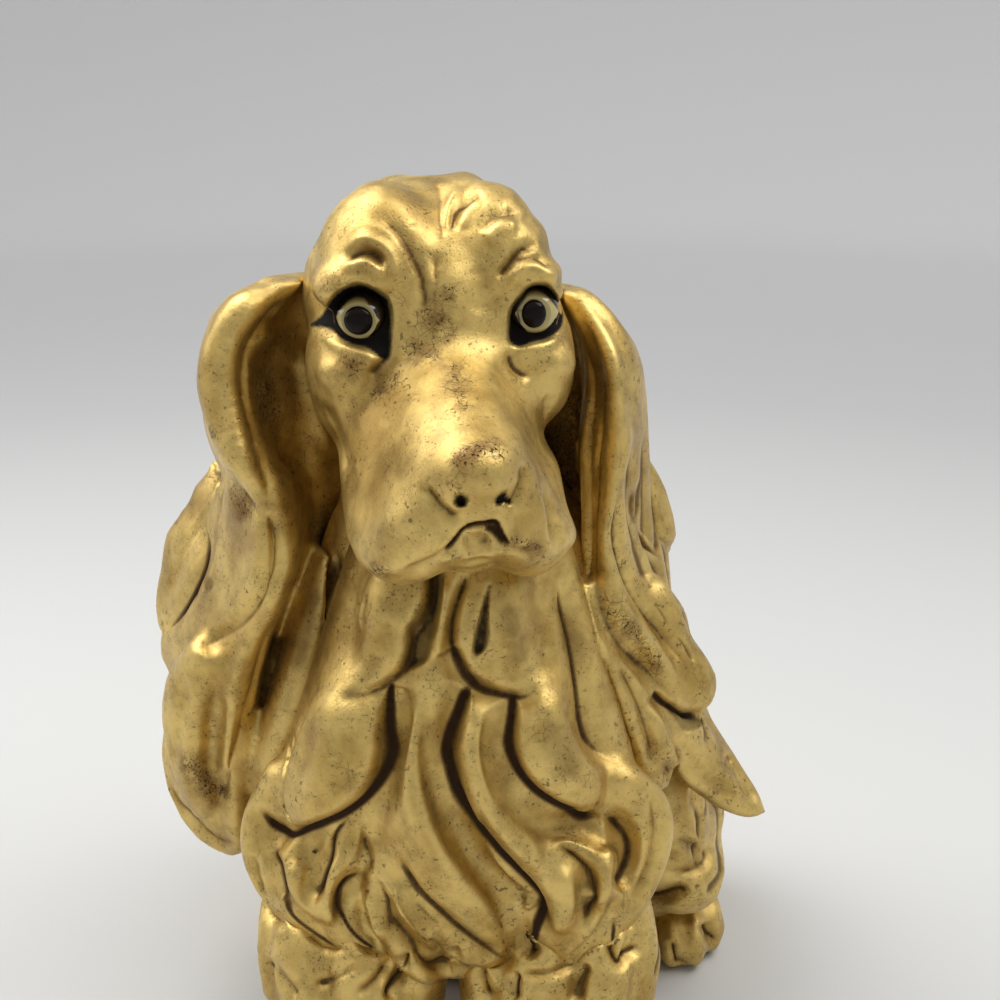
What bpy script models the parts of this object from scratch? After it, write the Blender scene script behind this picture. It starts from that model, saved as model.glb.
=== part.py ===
"""Seated spaniel in gilded pottery, built from its separately cast pieces.

The torso is a hollow slip casting with a pour hole in its seat.  The head, ears, chest mane,
legs, hind paws and tail are cast apart and luted on, the eyes are glass, and felt pads keep the
feet off the shelf.  Metres, +Z up.  The dog looks along -Y, so its own left is +X.
"""

import math

import bmesh
import bpy
import numpy as np
from mathutils import Matrix, Vector

MM = 0.001

# Joints and walls
LUTE_GAP = 0.3 * MM
SLIVER = 0.02 * MM
BODY_WALL = 8 * MM
HEAD_WALL = 14 * MM
HEAD_HOLLOW_BACK = 10 * MM
POUR_HOLE = 30 * MM
NECK_BORE = 30 * MM
FELT_THICKNESS = 1.5 * MM
FELT_INSET = 3 * MM

# Torso, from the seat up to the neck
RUMP_WIDTH = 126 * MM
RUMP_DEPTH = 122 * MM
RUMP_HEIGHT = 42 * MM
RUMP_BACK = 66 * MM
BELLY_WIDTH = 118 * MM
BELLY_DEPTH = 112 * MM
BELLY_HEIGHT = 92 * MM
BELLY_BACK = 44 * MM
CHEST_WIDTH = 108 * MM
CHEST_DEPTH = 94 * MM
CHEST_HEIGHT = 140 * MM
CHEST_BACK = 28 * MM
SHOULDER_WIDTH = 84 * MM
SHOULDER_DEPTH = 78 * MM
SHOULDER_HEIGHT = 180 * MM
NECK_WIDTH = 60 * MM
NECK_HEIGHT = 226 * MM
NECK_BACK = 24 * MM

# Chest mane
MANE_WIDTH = 132 * MM
MANE_DEPTH = 50 * MM
MANE_BOTTOM = 40 * MM
MANE_TOP = 192 * MM
MANE_FRONT = 42 * MM

# Head, set on the neck
HEAD_HEIGHT = 262 * MM
HEAD_SHIFT = 11 * MM
HEAD_BACK = 14 * MM
HEAD_TURN = 17.3
SKULL_WIDTH = 86 * MM
SKULL_LENGTH = 90 * MM
SKULL_DEPTH = 76 * MM
SKULL_BACK = 4 * MM
NAPE_BACK = 26 * MM
NAPE_DROP = 12 * MM
THROAT_BACK = 8 * MM
THROAT_DROP = 36 * MM
THROAT_DEPTH = 68 * MM
BROW_SPACING = 36 * MM
BROW_RISE = 14 * MM
BROW_FORWARD = 14 * MM
BROW_WIDTH = 42 * MM
BROW_LENGTH = 48 * MM
BROW_DEPTH = 46 * MM
LID_FORWARD = 26.5 * MM
LID_RISE = 11 * MM
LID_DROP = 14 * MM
LID_WIDTH = 31 * MM
LID_LENGTH = 26 * MM
LID_DEPTH = 18 * MM
CHEEK_SPACING = 50 * MM
CHEEK_FORWARD = 12 * MM
CHEEK_DROP = 22 * MM
CHEEK_WIDTH = 36 * MM
CHEEK_LENGTH = 52 * MM
CHEEK_DEPTH = 56 * MM
MUZZLE_LENGTH = 90 * MM
FLEW_WIDTH = 67 * MM
FLEW_DROP = 76 * MM
NOSE_WIDTH = 25 * MM
NOSE_LENGTH = 20 * MM
NOSE_DEPTH = 18 * MM
NOSE_DROP = 32 * MM
NOSE_SINK = 8 * MM
CHIN_WIDTH = 26 * MM
CHIN_LENGTH = 26 * MM
CHIN_DEPTH = 16 * MM
CHIN_RISE = 14 * MM
CHIN_SINK = 24 * MM
EYE_DIAMETER = 17 * MM
EYE_SPACING = 53 * MM
EYE_FORWARD = 29 * MM
EYE_OUTWARD = 12.0
PUPIL_DIAMETER = 9 * MM
PUPIL_DEPTH = 4 * MM
PUPIL_RISE = 0.5 * MM

# Ears, hung from the sides of the skull
EAR_LENGTH = 208 * MM
EAR_SPREAD = 66 * MM
EAR_SINK = 5 * MM
EAR_FORWARD = 4 * MM
EAR_RISE = 4 * MM
EAR_EDGE = 14 * MM
EAR_LOCK_RISE = 7 * MM

# Legs and tail
FORELEG_SPACING = 70 * MM
FORELEG_WIDTH = 60 * MM
FORELEG_DEPTH = 50 * MM
FORELEG_FRONT = 30 * MM
FORELEG_TOP = 84 * MM
FORELEG_LEAN = 18 * MM
FOREPAW_BACK = 4 * MM
HAUNCH_SINK = 9 * MM
HAUNCH_WIDTH = 68 * MM
HAUNCH_LENGTH = 94 * MM
HAUNCH_HEIGHT = 106 * MM
HAUNCH_BACK = 62 * MM
HAUNCH_LIFT = 6 * MM
PAW_WIDTH = 38 * MM
PAW_LENGTH = 52 * MM
PAW_HEIGHT = 30 * MM
HIND_PAW_OUT = 7 * MM
HIND_PAW_BACK = 78 * MM
HIND_PAW_SPLAY = 11.0
RIGHT_PAW_TUCK = 12 * MM
TAIL_LENGTH = 58 * MM
TAIL_WIDTH = 30 * MM
TAIL_RISE = 20 * MM
TAIL_SINK = 14 * MM
TAIL_HEIGHT = 26 * MM
TAIL_SAG = 4 * MM

# Carving
LOCK_RISE = 10 * MM
BACK_LOCK_LENGTH = 52 * MM
BACK_LOCK_WIDTH = 30 * MM
LEG_LOCK_WIDTH = 20 * MM
HAUNCH_LOCK_WIDTH = 26 * MM

# Faceting
RING_POINTS = 40
FINE_CELL = 2.0 * MM
COARSE_CELL = 2.6 * MM

SEAT_Z = FELT_THICKNESS + LUTE_GAP


# Curves and closed forms


def spline(rows, count):
    """Reads count rows evenly off a Catmull-Rom curve through the given rows."""
    rows = np.asarray(rows, float)
    padded = np.vstack([2 * rows[0] - rows[1], rows, 2 * rows[-1] - rows[-2]])
    read = []
    for step in np.linspace(0, len(rows) - 1, count):
        index = min(int(step), len(rows) - 2)
        share = step - index
        before, start, end, after = padded[index : index + 4]
        read.append(
            0.5
            * (
                2 * start
                + (end - before) * share
                + (2 * before - 5 * start + 4 * end - after) * share**2
                + (3 * start - before - 3 * end + after) * share**3
            )
        )
    return np.array(read)


def add_loft(form, rings):
    """Skins closed rings into one solid, with a fan over each end."""
    loops = [[form.verts.new(point) for point in ring] for ring in rings]
    count = len(loops[0])
    for lower, upper in zip(loops, loops[1:]):
        for i in range(count):
            j = (i + 1) % count
            form.faces.new((lower[i], lower[j], upper[j], upper[i]))
    for loop, flip in ((loops[0], True), (loops[-1], False)):
        hub = form.verts.new(sum((v.co for v in loop), Vector()) / count)
        for i in range(count):
            pair = (loop[i], loop[(i + 1) % count])
            form.faces.new((hub, *(pair[::-1] if flip else pair)))


def add_tube(form, centre, radius, low, high, sides=20):
    """Adds an upright round bar between two heights."""
    angles = np.linspace(0, 2 * math.pi, sides, endpoint=False)
    x, y = centre
    ring = [(x + radius * math.cos(a), y + radius * math.sin(a)) for a in angles]
    add_loft(form, [[Vector((*point, z)) for point in ring] for z in (low, high)])


def add_ellipsoid(form, centre, radii, turn=Matrix.Identity(4), segments=20):
    """Adds an ellipsoid with its half axes along the turned X, Y and Z."""
    place = turn @ Matrix.Translation(centre) @ Matrix.Diagonal((*radii, 1))
    bmesh.ops.create_uvsphere(
        form, u_segments=segments, v_segments=segments // 2, radius=1, matrix=place
    )


def leaf(share, root=0.6, tip=0.2, widest=0.55):
    """Width of a hair lock along its length: a slim root, a full middle and a rounded tip."""
    if share < widest:
        return root + (1 - root) * math.sin(0.5 * math.pi * share / widest)
    fall = (share - widest) / (1 - widest)
    return tip + (1 - tip) * math.sqrt(max(0.0, 1 - fall**2.2))


def add_lock(form, path, outs, width, rise, count=11, sides=10, shape=leaf):
    """Adds a hair lock: a flattened tapering tube along a path, lying flat against outs."""
    path = spline(path, count)
    outs = spline(outs, count)
    tangents = np.gradient(path, axis=0)
    rings = []
    for i in range(count):
        along = Vector(tangents[i]).normalized()
        out = Vector(outs[i])
        out = (out - along * out.dot(along)).normalized()
        side = along.cross(out)
        swell = shape(i / (count - 1))
        ring = []
        for k in range(sides):
            angle = 2 * math.pi * k / sides
            ring.append(
                Vector(path[i])
                + side * (0.5 * width * swell * math.cos(angle))
                - out * (rise * (0.35 + 0.65 * swell) * math.sin(angle))
            )
        rings.append(ring)
    add_loft(form, rings)


class Column:
    """An upright body of elliptical sections: height, centre x and y, half width and half depth."""

    def __init__(self, rows):
        self.rows = spline(rows, 8 * len(rows))

    def section(self, height):
        """Centre and half axes at a height."""
        return [np.interp(height, self.rows[:, 0], self.rows[:, k]) for k in (1, 2, 3, 4)]

    def point(self, angle, height, wall=0.0):
        """Point at an angle in degrees from the front towards the dog's left, a wall inside the surface."""
        x, y, half_width, half_depth = self.section(height)
        turn = math.radians(angle)
        across = (half_width - wall) * math.sin(turn)
        return Vector((x + across, y - (half_depth - wall) * math.cos(turn), height))

    def out(self, angle, height):
        """Level direction out of the surface there."""
        _, _, half_width, half_depth = self.section(height)
        turn = math.radians(angle)
        return Vector((math.sin(turn) / half_width, -math.cos(turn) / half_depth, 0)).normalized()

    def add_to(self, form, levels):
        """Adds the column as one closed loft."""
        heights = np.linspace(self.rows[0, 0], self.rows[-1, 0], levels)
        self.add_stretch(form, heights, RING_POINTS)

    def add_stretch(self, form, heights, sides, wall=0.0):
        """Adds the stretch between the first and the last height, a wall inside the surface."""
        angles = [360 * k / sides for k in range(sides)]
        add_loft(form, [[self.point(a, h, wall) for a in angles] for h in heights])

    def add_lock(self, form, spots, width, rise, sink=0.5):
        """Adds a hair lock through spots of angle and height, sunk by a share of its rise."""
        path = [self.point(a, h) + self.out(a, h) * rise * (1 - 2 * sink) * 0.5 for a, h in spots]
        add_lock(form, path, [self.out(a, h) for a, h in spots], width, rise)


# Objects


def material(name, colour, roughness, metallic):
    """Principled surface in one colour."""
    made = bpy.data.materials.new(name)
    made.use_nodes = True
    shader = made.node_tree.nodes["Principled BSDF"]
    shader.inputs["Base Color"].default_value = (*colour, 1)
    shader.inputs["Roughness"].default_value = roughness
    shader.inputs["Metallic"].default_value = metallic
    return made


def add_object(name, form, finish):
    """Turns a bmesh into a linked object with its material."""
    bmesh.ops.recalc_face_normals(form, faces=form.faces)
    mesh = bpy.data.meshes.new(name)
    form.to_mesh(mesh)
    form.free()
    made = bpy.data.objects.new(name, mesh)
    made.data.materials.append(finish)
    bpy.context.scene.collection.objects.link(made)
    return made


def settle(obj):
    """Replaces the mesh by what its modifiers make of it."""
    graph = bpy.context.evaluated_depsgraph_get()
    mesh = bpy.data.meshes.new_from_object(obj.evaluated_get(graph))
    obj.modifiers.clear()
    obj.data = mesh


def fuse(obj, cell, rounds, triangles):
    """Melts overlapping masses into one smooth skin of about so many triangles."""
    remesh = obj.modifiers.new("melt", "REMESH")
    remesh.mode = "VOXEL"
    remesh.voxel_size = cell
    smooth = obj.modifiers.new("smooth", "SMOOTH")
    smooth.factor = 0.5
    smooth.iterations = rounds
    settle(obj)
    thin = obj.modifiers.new("thin", "DECIMATE")
    thin.ratio = min(1.0, triangles / (2 * len(obj.data.polygons)))
    settle(obj)


def keep_largest(obj):
    """Drops the slivers, flaps and chips that a cut leaves beside the main body."""
    form = bmesh.new()
    form.from_mesh(obj.data)
    bmesh.ops.dissolve_degenerate(form, edges=form.edges, dist=SLIVER)
    flaps = [f for f in form.faces if sum(e.is_boundary for e in f.edges) > 1]
    bmesh.ops.delete(form, geom=flaps, context="FACES")
    left = set(form.verts)
    islands = []
    while left:
        front = [left.pop()]
        island = list(front)
        while front:
            for edge in front.pop().link_edges:
                for vert in edge.verts:
                    if vert in left:
                        left.remove(vert)
                        front.append(vert)
                        island.append(vert)
        islands.append(island)
    keep = max(islands, key=len)
    spare = [v for island in islands if island is not keep for v in island]
    bmesh.ops.delete(form, geom=spare, context="VERTS")
    form.to_mesh(obj.data)
    form.free()


def cut(obj, cutter, operation="DIFFERENCE"):
    """Cuts one object by another with an exact Boolean."""
    boolean = obj.modifiers.new("cut", "BOOLEAN")
    boolean.operation = operation
    boolean.solver = "EXACT"
    boolean.use_self = True
    boolean.object = cutter
    settle(obj)


def seat(obj, *neighbours):
    """Cuts a piece back to one lute gap from each neighbour that it is set on."""
    for neighbour in neighbours:
        grown = neighbour.copy()
        grown.data = neighbour.data.copy()
        bpy.context.scene.collection.objects.link(grown)
        swell = grown.modifiers.new("swell", "DISPLACE")
        swell.strength = LUTE_GAP
        swell.mid_level = 0
        cut(obj, grown)
        bpy.data.objects.remove(grown)
    keep_largest(obj)


def scoop(obj, form):
    """Cuts the closed form out of an object."""
    cutter = add_object("scoop", form, obj.data.materials[0])
    cut(obj, cutter)
    bpy.data.objects.remove(cutter)


def stand(obj, level=SEAT_Z):
    """Cuts a piece off flat at the level that it stands on."""
    form = bmesh.new()
    form.from_mesh(obj.data)
    everything = form.verts[:] + form.edges[:] + form.faces[:]
    cut_through = bmesh.ops.bisect_plane(
        form, geom=everything, dist=1e-6, plane_co=(0, 0, level), plane_no=(0, 0, 1), clear_inner=True
    )
    rim = [e for e in cut_through["geom_cut"] if isinstance(e, bmesh.types.BMEdge)]
    bmesh.ops.edgeloop_fill(form, edges=rim)
    bmesh.ops.triangulate(form, faces=form.faces)
    form.to_mesh(obj.data)
    form.free()


def finish_shading(obj):
    """Shades a round piece smooth and keeps its real edges sharp."""
    obj.data.shade_smooth()
    obj.data.set_sharp_from_angle(angle=math.radians(50))


# Torso


def torso_column():
    """The upright torso from the seat to the top of the neck."""
    shoulder_share = 0.5
    return Column(
        [
            (SEAT_Z, 0, RUMP_BACK, 0.46 * RUMP_WIDTH, 0.46 * RUMP_DEPTH),
            (RUMP_HEIGHT, 0, RUMP_BACK, RUMP_WIDTH / 2, RUMP_DEPTH / 2),
            (BELLY_HEIGHT, 0, BELLY_BACK, BELLY_WIDTH / 2, BELLY_DEPTH / 2),
            (CHEST_HEIGHT, 0, CHEST_BACK, CHEST_WIDTH / 2, CHEST_DEPTH / 2),
            (
                SHOULDER_HEIGHT,
                -shoulder_share * HEAD_SHIFT,
                NECK_BACK,
                SHOULDER_WIDTH / 2,
                SHOULDER_DEPTH / 2,
            ),
            (NECK_HEIGHT, -HEAD_SHIFT, NECK_BACK, NECK_WIDTH / 2, NECK_WIDTH / 2),
        ]
    )


def make_body_shell(finish):
    """Hollow torso casting with locks down its back, a pour hole below and a bore in the neck."""
    column = torso_column()
    form = bmesh.new()
    column.add_to(form, 22)
    tiers = ((0.83, 0), (0.64, 18), (0.45, 0), (0.26, 18))
    for share, shift in tiers:
        top = share * NECK_HEIGHT
        for angle in range(54, 307, 36):
            start = angle + shift
            sway = 12 if start < 180 else -12
            spots = [
                (start, top),
                (start + sway, top - 0.35 * BACK_LOCK_LENGTH),
                (start - 0.5 * sway, top - 0.7 * BACK_LOCK_LENGTH),
                (start + 0.3 * sway, top - BACK_LOCK_LENGTH),
            ]
            column.add_lock(form, spots, BACK_LOCK_WIDTH, 0.7 * LOCK_RISE)
    body = add_object("body_shell", form, finish)
    fuse(body, COARSE_CELL, 2, 1400)
    stand(body)
    hollow = bmesh.new()
    heights = np.linspace(SEAT_Z + BODY_WALL, SHOULDER_HEIGHT, 8)
    column.add_stretch(hollow, heights, 12, BODY_WALL)
    scoop(body, hollow)
    pour_hole = bmesh.new()
    add_tube(pour_hole, (0, RUMP_BACK), POUR_HOLE / 2, 0, SEAT_Z + 2 * BODY_WALL)
    scoop(body, pour_hole)
    neck_bore = bmesh.new()
    low = SHOULDER_HEIGHT - BODY_WALL
    add_tube(neck_bore, (-HEAD_SHIFT, NECK_BACK), NECK_BORE / 2, low, NECK_HEIGHT + BODY_WALL)
    scoop(body, neck_bore)
    keep_largest(body)
    return body


# Chest mane

# Each lock: spots across the mane, from -1 to 1, and up it, from 0 to 1, then its width.
MANE_LOCKS = (
    (((-0.27, 0.98), (-0.33, 0.85), (-0.41, 0.70)), 30 * MM),
    (((0.03, 0.98), (0.00, 0.87), (-0.03, 0.76)), 8 * MM),
    (((0.40, 0.99), (0.30, 0.86), (0.35, 0.71)), 28 * MM),
    (((-0.53, 0.72), (-0.58, 0.52), (-0.72, 0.33)), 38 * MM),
    (((-0.06, 0.75), (-0.15, 0.53), (-0.12, 0.33), (0.06, 0.17), (0.26, 0.06)), 24 * MM),
    (((0.20, 0.70), (0.14, 0.54), (0.30, 0.37), (0.54, 0.23), (0.56, 0.03)), 19 * MM),
    (((0.53, 0.36), (0.71, 0.29), (0.76, 0.16), (0.62, 0.02)), 16 * MM),
    (((0.47, 0.72), (0.50, 0.55), (0.72, 0.43)), 30 * MM),
    (((0.90, 0.50), (0.98, 0.35), (0.86, 0.12)), 17 * MM),
    (((-0.78, 0.34), (-0.80, 0.17), (-0.62, 0.03)), 17 * MM),
    (((-0.52, 0.33), (-0.60, 0.18), (-0.42, 0.02)), 15 * MM),
    (((-0.33, 0.33), (-0.28, 0.17), (-0.10, 0.00)), 15 * MM),
    (((-0.95, 0.45), (-0.98, 0.25), (-0.86, 0.08)), 18 * MM),
)


def mane_column():
    """The bib of hair that hangs in front of the chest."""
    rise = MANE_TOP - MANE_BOTTOM
    back = MANE_DEPTH / 2 - MANE_FRONT
    return Column(
        [
            (MANE_BOTTOM, 0, back - 0.04 * MANE_DEPTH, 0.42 * MANE_WIDTH, 0.38 * MANE_DEPTH),
            (MANE_BOTTOM + 0.25 * rise, 0, back, 0.50 * MANE_WIDTH, 0.48 * MANE_DEPTH),
            (MANE_BOTTOM + 0.5 * rise, 0, back + 0.04 * MANE_DEPTH, 0.43 * MANE_WIDTH, 0.50 * MANE_DEPTH),
            (MANE_BOTTOM + 0.72 * rise, 0, back + 0.10 * MANE_DEPTH, 0.35 * MANE_WIDTH, 0.48 * MANE_DEPTH),
            (MANE_TOP, 0, back + 0.24 * MANE_DEPTH, 0.25 * MANE_WIDTH, 0.40 * MANE_DEPTH),
        ]
    )


def make_chest_mane(finish, body):
    """Bib of overlapping S-shaped locks, luted on the front of the torso."""
    column = mane_column()
    form = bmesh.new()
    column.add_to(form, 14)
    for spots, width in MANE_LOCKS:
        placed = []
        for across, up in spots:
            angle = math.degrees(math.asin(max(-0.98, min(0.98, across))))
            placed.append((angle, MANE_BOTTOM + up * (MANE_TOP - MANE_BOTTOM)))
        column.add_lock(form, placed, width, LOCK_RISE)
    mane = add_object("chest_mane", form, finish)
    fuse(mane, FINE_CELL, 2, 2300)
    seat(mane, body)
    return mane


# Head


def head_place():
    """Where the skull's centre is, and which way the muzzle points."""
    return Matrix.Translation((-HEAD_SHIFT, HEAD_BACK, HEAD_HEIGHT)) @ Matrix.Rotation(
        math.radians(HEAD_TURN), 4, "Z"
    )


def eye_place(side):
    """Frame of an eye: its centre, with -Y looking out."""
    return (
        head_place()
        @ Matrix.Translation((side * EYE_SPACING / 2, -EYE_FORWARD, 0))
        @ Matrix.Rotation(math.radians(side * EYE_OUTWARD), 4, "Z")
    )


# Sections of the muzzle from the eyes to the nose: how far along it they are, then the drop of its
# top, the half widths of its bridge, middle and flews, and the drop of its lips, as shares of its sizes.
MUZZLE_SECTIONS = (
    (0.10, -0.20, 0.36, 1.05, 0.90, 0.72),
    (0.36, 0.04, 0.34, 0.90, 1.02, 0.93),
    (0.62, 0.19, 0.32, 0.70, 1.00, 1.00),
    (0.82, 0.27, 0.33, 0.62, 0.82, 0.93),
    (0.95, 0.35, 0.30, 0.46, 0.46, 0.78),
)


def add_muzzle(form, place):
    """Adds the deep muzzle with its hanging flews, lofted from the eyes to the nose."""
    half = FLEW_WIDTH / 2
    rings = []
    for along, top, bridge, middle, flew, lips in spline(MUZZLE_SECTIONS, 13):
        side = [
            (0, top),
            (bridge, top + 0.02),
            (middle, top + 0.38 * (lips - top)),
            (flew, lips - 0.14),
            (0.62 * flew, lips),
            (0, lips - 0.10),
        ]
        outline = side + [(-across, drop) for across, drop in side[-2:0:-1]]
        smooth = spline(outline + outline[:1], 31)[:-1]
        rings.append(
            [place @ Vector((half * u, -along * MUZZLE_LENGTH, -drop * FLEW_DROP)) for u, drop in smooth]
        )
    add_loft(form, rings)


def make_head(finish, body, mane, eyes):
    """Head casting with domed skull, heavy brows, deep square muzzle and hanging flews."""
    place = head_place()
    form = bmesh.new()

    def mass(x, forward, up, width, length, depth, tilt=0.0):
        turn = place @ Matrix.Translation((x, -forward, up)) @ Matrix.Rotation(math.radians(tilt), 4, "Y")
        add_ellipsoid(form, (0, 0, 0), (width / 2, length / 2, depth / 2), turn)

    mass(0, -SKULL_BACK, 0, SKULL_WIDTH, SKULL_LENGTH, SKULL_DEPTH)
    mass(0, -NAPE_BACK, -NAPE_DROP, 0.80 * SKULL_WIDTH, 0.60 * SKULL_LENGTH, 0.88 * SKULL_DEPTH)
    mass(0, -THROAT_BACK, -THROAT_DROP, 0.80 * SKULL_WIDTH, 0.84 * SKULL_LENGTH, THROAT_DEPTH)
    for side in (-1, 1):
        mass(side * BROW_SPACING / 2, BROW_FORWARD, BROW_RISE, BROW_WIDTH, BROW_LENGTH, BROW_DEPTH)
        lid = (LID_WIDTH, LID_LENGTH, LID_DEPTH)
        mass(side * EYE_SPACING / 2, LID_FORWARD, LID_RISE, *lid, side * 12)
        mass(side * EYE_SPACING / 2, LID_FORWARD, -LID_DROP, *lid, side * 20)
        cheek = (CHEEK_WIDTH, CHEEK_LENGTH, CHEEK_DEPTH)
        mass(side * CHEEK_SPACING / 2, CHEEK_FORWARD, -CHEEK_DROP, *cheek, side * 8)
    add_muzzle(form, place)
    mass(0, MUZZLE_LENGTH - NOSE_SINK, -NOSE_DROP, NOSE_WIDTH, NOSE_LENGTH, NOSE_DEPTH)
    mass(0, MUZZLE_LENGTH - CHIN_SINK, CHIN_RISE - FLEW_DROP, CHIN_WIDTH, CHIN_LENGTH, CHIN_DEPTH)
    head = add_object("head_shell", form, finish)
    fuse(head, FINE_CELL, 6, 1700)
    hollow = bmesh.new()
    add_ellipsoid(
        hollow,
        (0, HEAD_HOLLOW_BACK, 0),
        (SKULL_WIDTH / 2 - HEAD_WALL, SKULL_LENGTH / 2 - HEAD_WALL - SKULL_BACK, SKULL_DEPTH / 2 - HEAD_WALL),
        place,
        segments=12,
    )
    passage = bmesh.new()
    add_tube(passage, (-HEAD_SHIFT, NECK_BACK), NECK_BORE / 2, NECK_HEIGHT - BODY_WALL / 2, HEAD_HEIGHT)
    seat(head, body, mane)
    scoop(head, hollow)
    scoop(head, passage)
    for side in (-1, 1):
        opening = bmesh.new()
        slant = eye_place(side) @ Matrix.Rotation(math.radians(side * 12), 4, "Y")
        add_ellipsoid(
            opening,
            (0, -0.55 * EYE_DIAMETER, 0),
            (0.74 * EYE_DIAMETER, 0.42 * EYE_DIAMETER, 0.56 * EYE_DIAMETER),
            slant,
            segments=14,
        )
        scoop(head, opening)
    seat(head, *eyes)
    return head


def make_eye(name, side, finish, pupil):
    """Opaque glass ball with a round seat for its pupil."""
    form = bmesh.new()
    radius = EYE_DIAMETER / 2
    turn = eye_place(side) @ Matrix.Rotation(math.radians(90), 4, "X")
    add_ellipsoid(form, (0, 0, 0), (radius, radius, radius), turn, segments=14)
    eye = add_object(name, form, finish)
    seat(eye, pupil)
    return eye


def make_pupil(name, side, finish):
    """Black glass plug with a domed face, let into the front of the eye."""
    form = bmesh.new()
    radius = EYE_DIAMETER / 2
    half = PUPIL_DIAMETER / 2
    proud = PUPIL_RISE
    edge = math.sqrt(radius**2 - half**2)
    rows = [(0.96 * half, edge + proud - PUPIL_DEPTH), (half, edge), (half, edge + 0.4 * proud)]
    rows += [(0.6 * half, math.sqrt(radius**2 - (0.6 * half) ** 2) + proud)]
    angles = np.linspace(0, 2 * math.pi, 14, endpoint=False)
    place = eye_place(side)
    rings = [
        [place @ Vector((r * math.cos(a), -out, r * math.sin(a))) for a in angles] for r, out in rows
    ]
    add_loft(form, rings)
    return add_object(name, form, finish)


# Ears

# Sections of each ear from the skull down: the drop, as a share of its length, then how far out and
# back its front edge, its outer corner and its inner corner lie, as shares of its spread.
EAR_SECTIONS = {
    -1: (
        (-0.01, 0.17, -0.02, 0.28, 0.20, -0.06, 0.30),
        (0.05, 0.36, -0.12, 0.57, 0.24, -0.10, 0.42),
        (0.15, 0.38, -0.20, 0.66, 0.30, -0.12, 0.50),
        (0.27, 0.29, -0.29, 0.71, 0.40, -0.14, 0.54),
        (0.37, 0.20, -0.36, 0.77, 0.48, -0.14, 0.54),
        (0.46, 0.24, -0.36, 0.90, 0.50, -0.06, 0.50),
        (0.56, 0.39, -0.29, 1.00, 0.45, 0.04, 0.42),
        (0.70, 0.52, -0.21, 1.00, 0.36, 0.16, 0.32),
        (0.85, 0.55, -0.15, 1.06, 0.26, 0.28, 0.24),
        (0.95, 0.55, -0.11, 0.94, 0.16, 0.42, 0.16),
        (1.00, 0.61, -0.03, 0.74, 0.08, 0.55, 0.06),
    ),
    1: (
        (0.01, 0.11, -0.05, 0.13, 0.12, -0.12, 0.24),
        (0.07, 0.24, -0.14, 0.31, 0.18, -0.18, 0.34),
        (0.14, 0.31, -0.20, 0.42, 0.26, -0.20, 0.40),
        (0.26, 0.28, -0.27, 0.47, 0.34, -0.20, 0.44),
        (0.37, 0.30, -0.33, 0.50, 0.38, -0.14, 0.40),
        (0.47, 0.31, -0.36, 0.61, 0.40, -0.02, 0.32),
        (0.60, 0.51, -0.33, 0.66, 0.34, 0.14, 0.22),
        (0.71, 0.66, -0.30, 0.76, 0.26, 0.30, 0.12),
        (0.81, 0.78, -0.23, 0.98, 0.16, 0.52, 0.04),
        (0.89, 0.99, -0.13, 1.16, 0.10, 0.84, 0.00),
        (0.92, 1.15, -0.05, 1.22, 0.04, 1.06, 0.00),
    ),
}

# Locks that lie on each ear, behind it and inside its edge: their paths as drop, out and back, then width.
EAR_LOCKS = {
    -1: (
        (((0.33, 0.72, 0.46), (0.47, 0.95, 0.50), (0.62, 1.02, 0.46)), 28 * MM),
        (((0.43, 0.00, 0.08), (0.56, 0.11, 0.02), (0.71, 0.24, -0.05), (0.86, 0.39, -0.08)), 20 * MM),
        (((0.58, 0.60, -0.16), (0.72, 0.80, -0.04), (0.92, 0.74, -0.02)), 24 * MM),
    ),
    1: (
        (((0.32, 0.38, 0.36), (0.42, 0.51, 0.46), (0.51, 0.51, 0.44)), 24 * MM),
        (((0.45, 0.24, -0.33), (0.58, 0.33, -0.42), (0.73, 0.50, -0.38), (0.82, 0.64, -0.30)), 26 * MM),
        (((0.50, 0.52, -0.05), (0.62, 0.72, -0.05), (0.71, 0.84, -0.04)), 22 * MM),
    ),
}


def ear_point(side, drop, out, back):
    """A point of an ear, from the root where it leaves the skull."""
    root = head_place() @ Vector((side * (SKULL_WIDTH / 2 - EAR_SINK), -EAR_FORWARD, EAR_RISE))
    return root + Vector((side * out * EAR_SPREAD, back * EAR_SPREAD, -drop * EAR_LENGTH))


def make_ear(name, side, finish, carriers):
    """Long ear with its rolled edge to the front, hollow towards the cheek, with a wavy fringe."""
    form = bmesh.new()
    edge = EAR_EDGE / 2 / EAR_SPREAD
    rings = []
    for drop, *corners in spline(EAR_SECTIONS[side], 21):
        front, outer, inner = (np.array(corners[k : k + 2]) for k in (0, 2, 4))
        taper = min(1.0, float(np.linalg.norm(outer - inner)) / (4 * edge))
        roll = edge * taper
        outline = [
            front,
            front + (roll, 0.8 * roll),
            0.5 * (front + outer) + (0.8 * roll, 0.0),
            outer,
            0.5 * (outer + inner) + (0.0, roll),
            inner,
            0.5 * (front + inner) + (0.7 * roll, 0.4 * roll),
            front + (-roll, 0.8 * roll),
        ]
        smooth = spline(outline + outline[:1], 25)[:-1]
        ring = [ear_point(side, drop, out, back) for out, back in smooth]
        rings.append(ring)
    add_loft(form, rings)
    for spots, width in EAR_LOCKS[side]:
        path = [ear_point(side, *spot) for spot in spots]
        outs = [Vector((0.7 * side, -0.7, 0.1))] * len(path)
        add_lock(form, path, outs, width, EAR_LOCK_RISE)
    ear = add_object(name, form, finish)
    fuse(ear, FINE_CELL, 3, 1000)
    seat(ear, *carriers)
    return ear


# Legs, paws and tail


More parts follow.
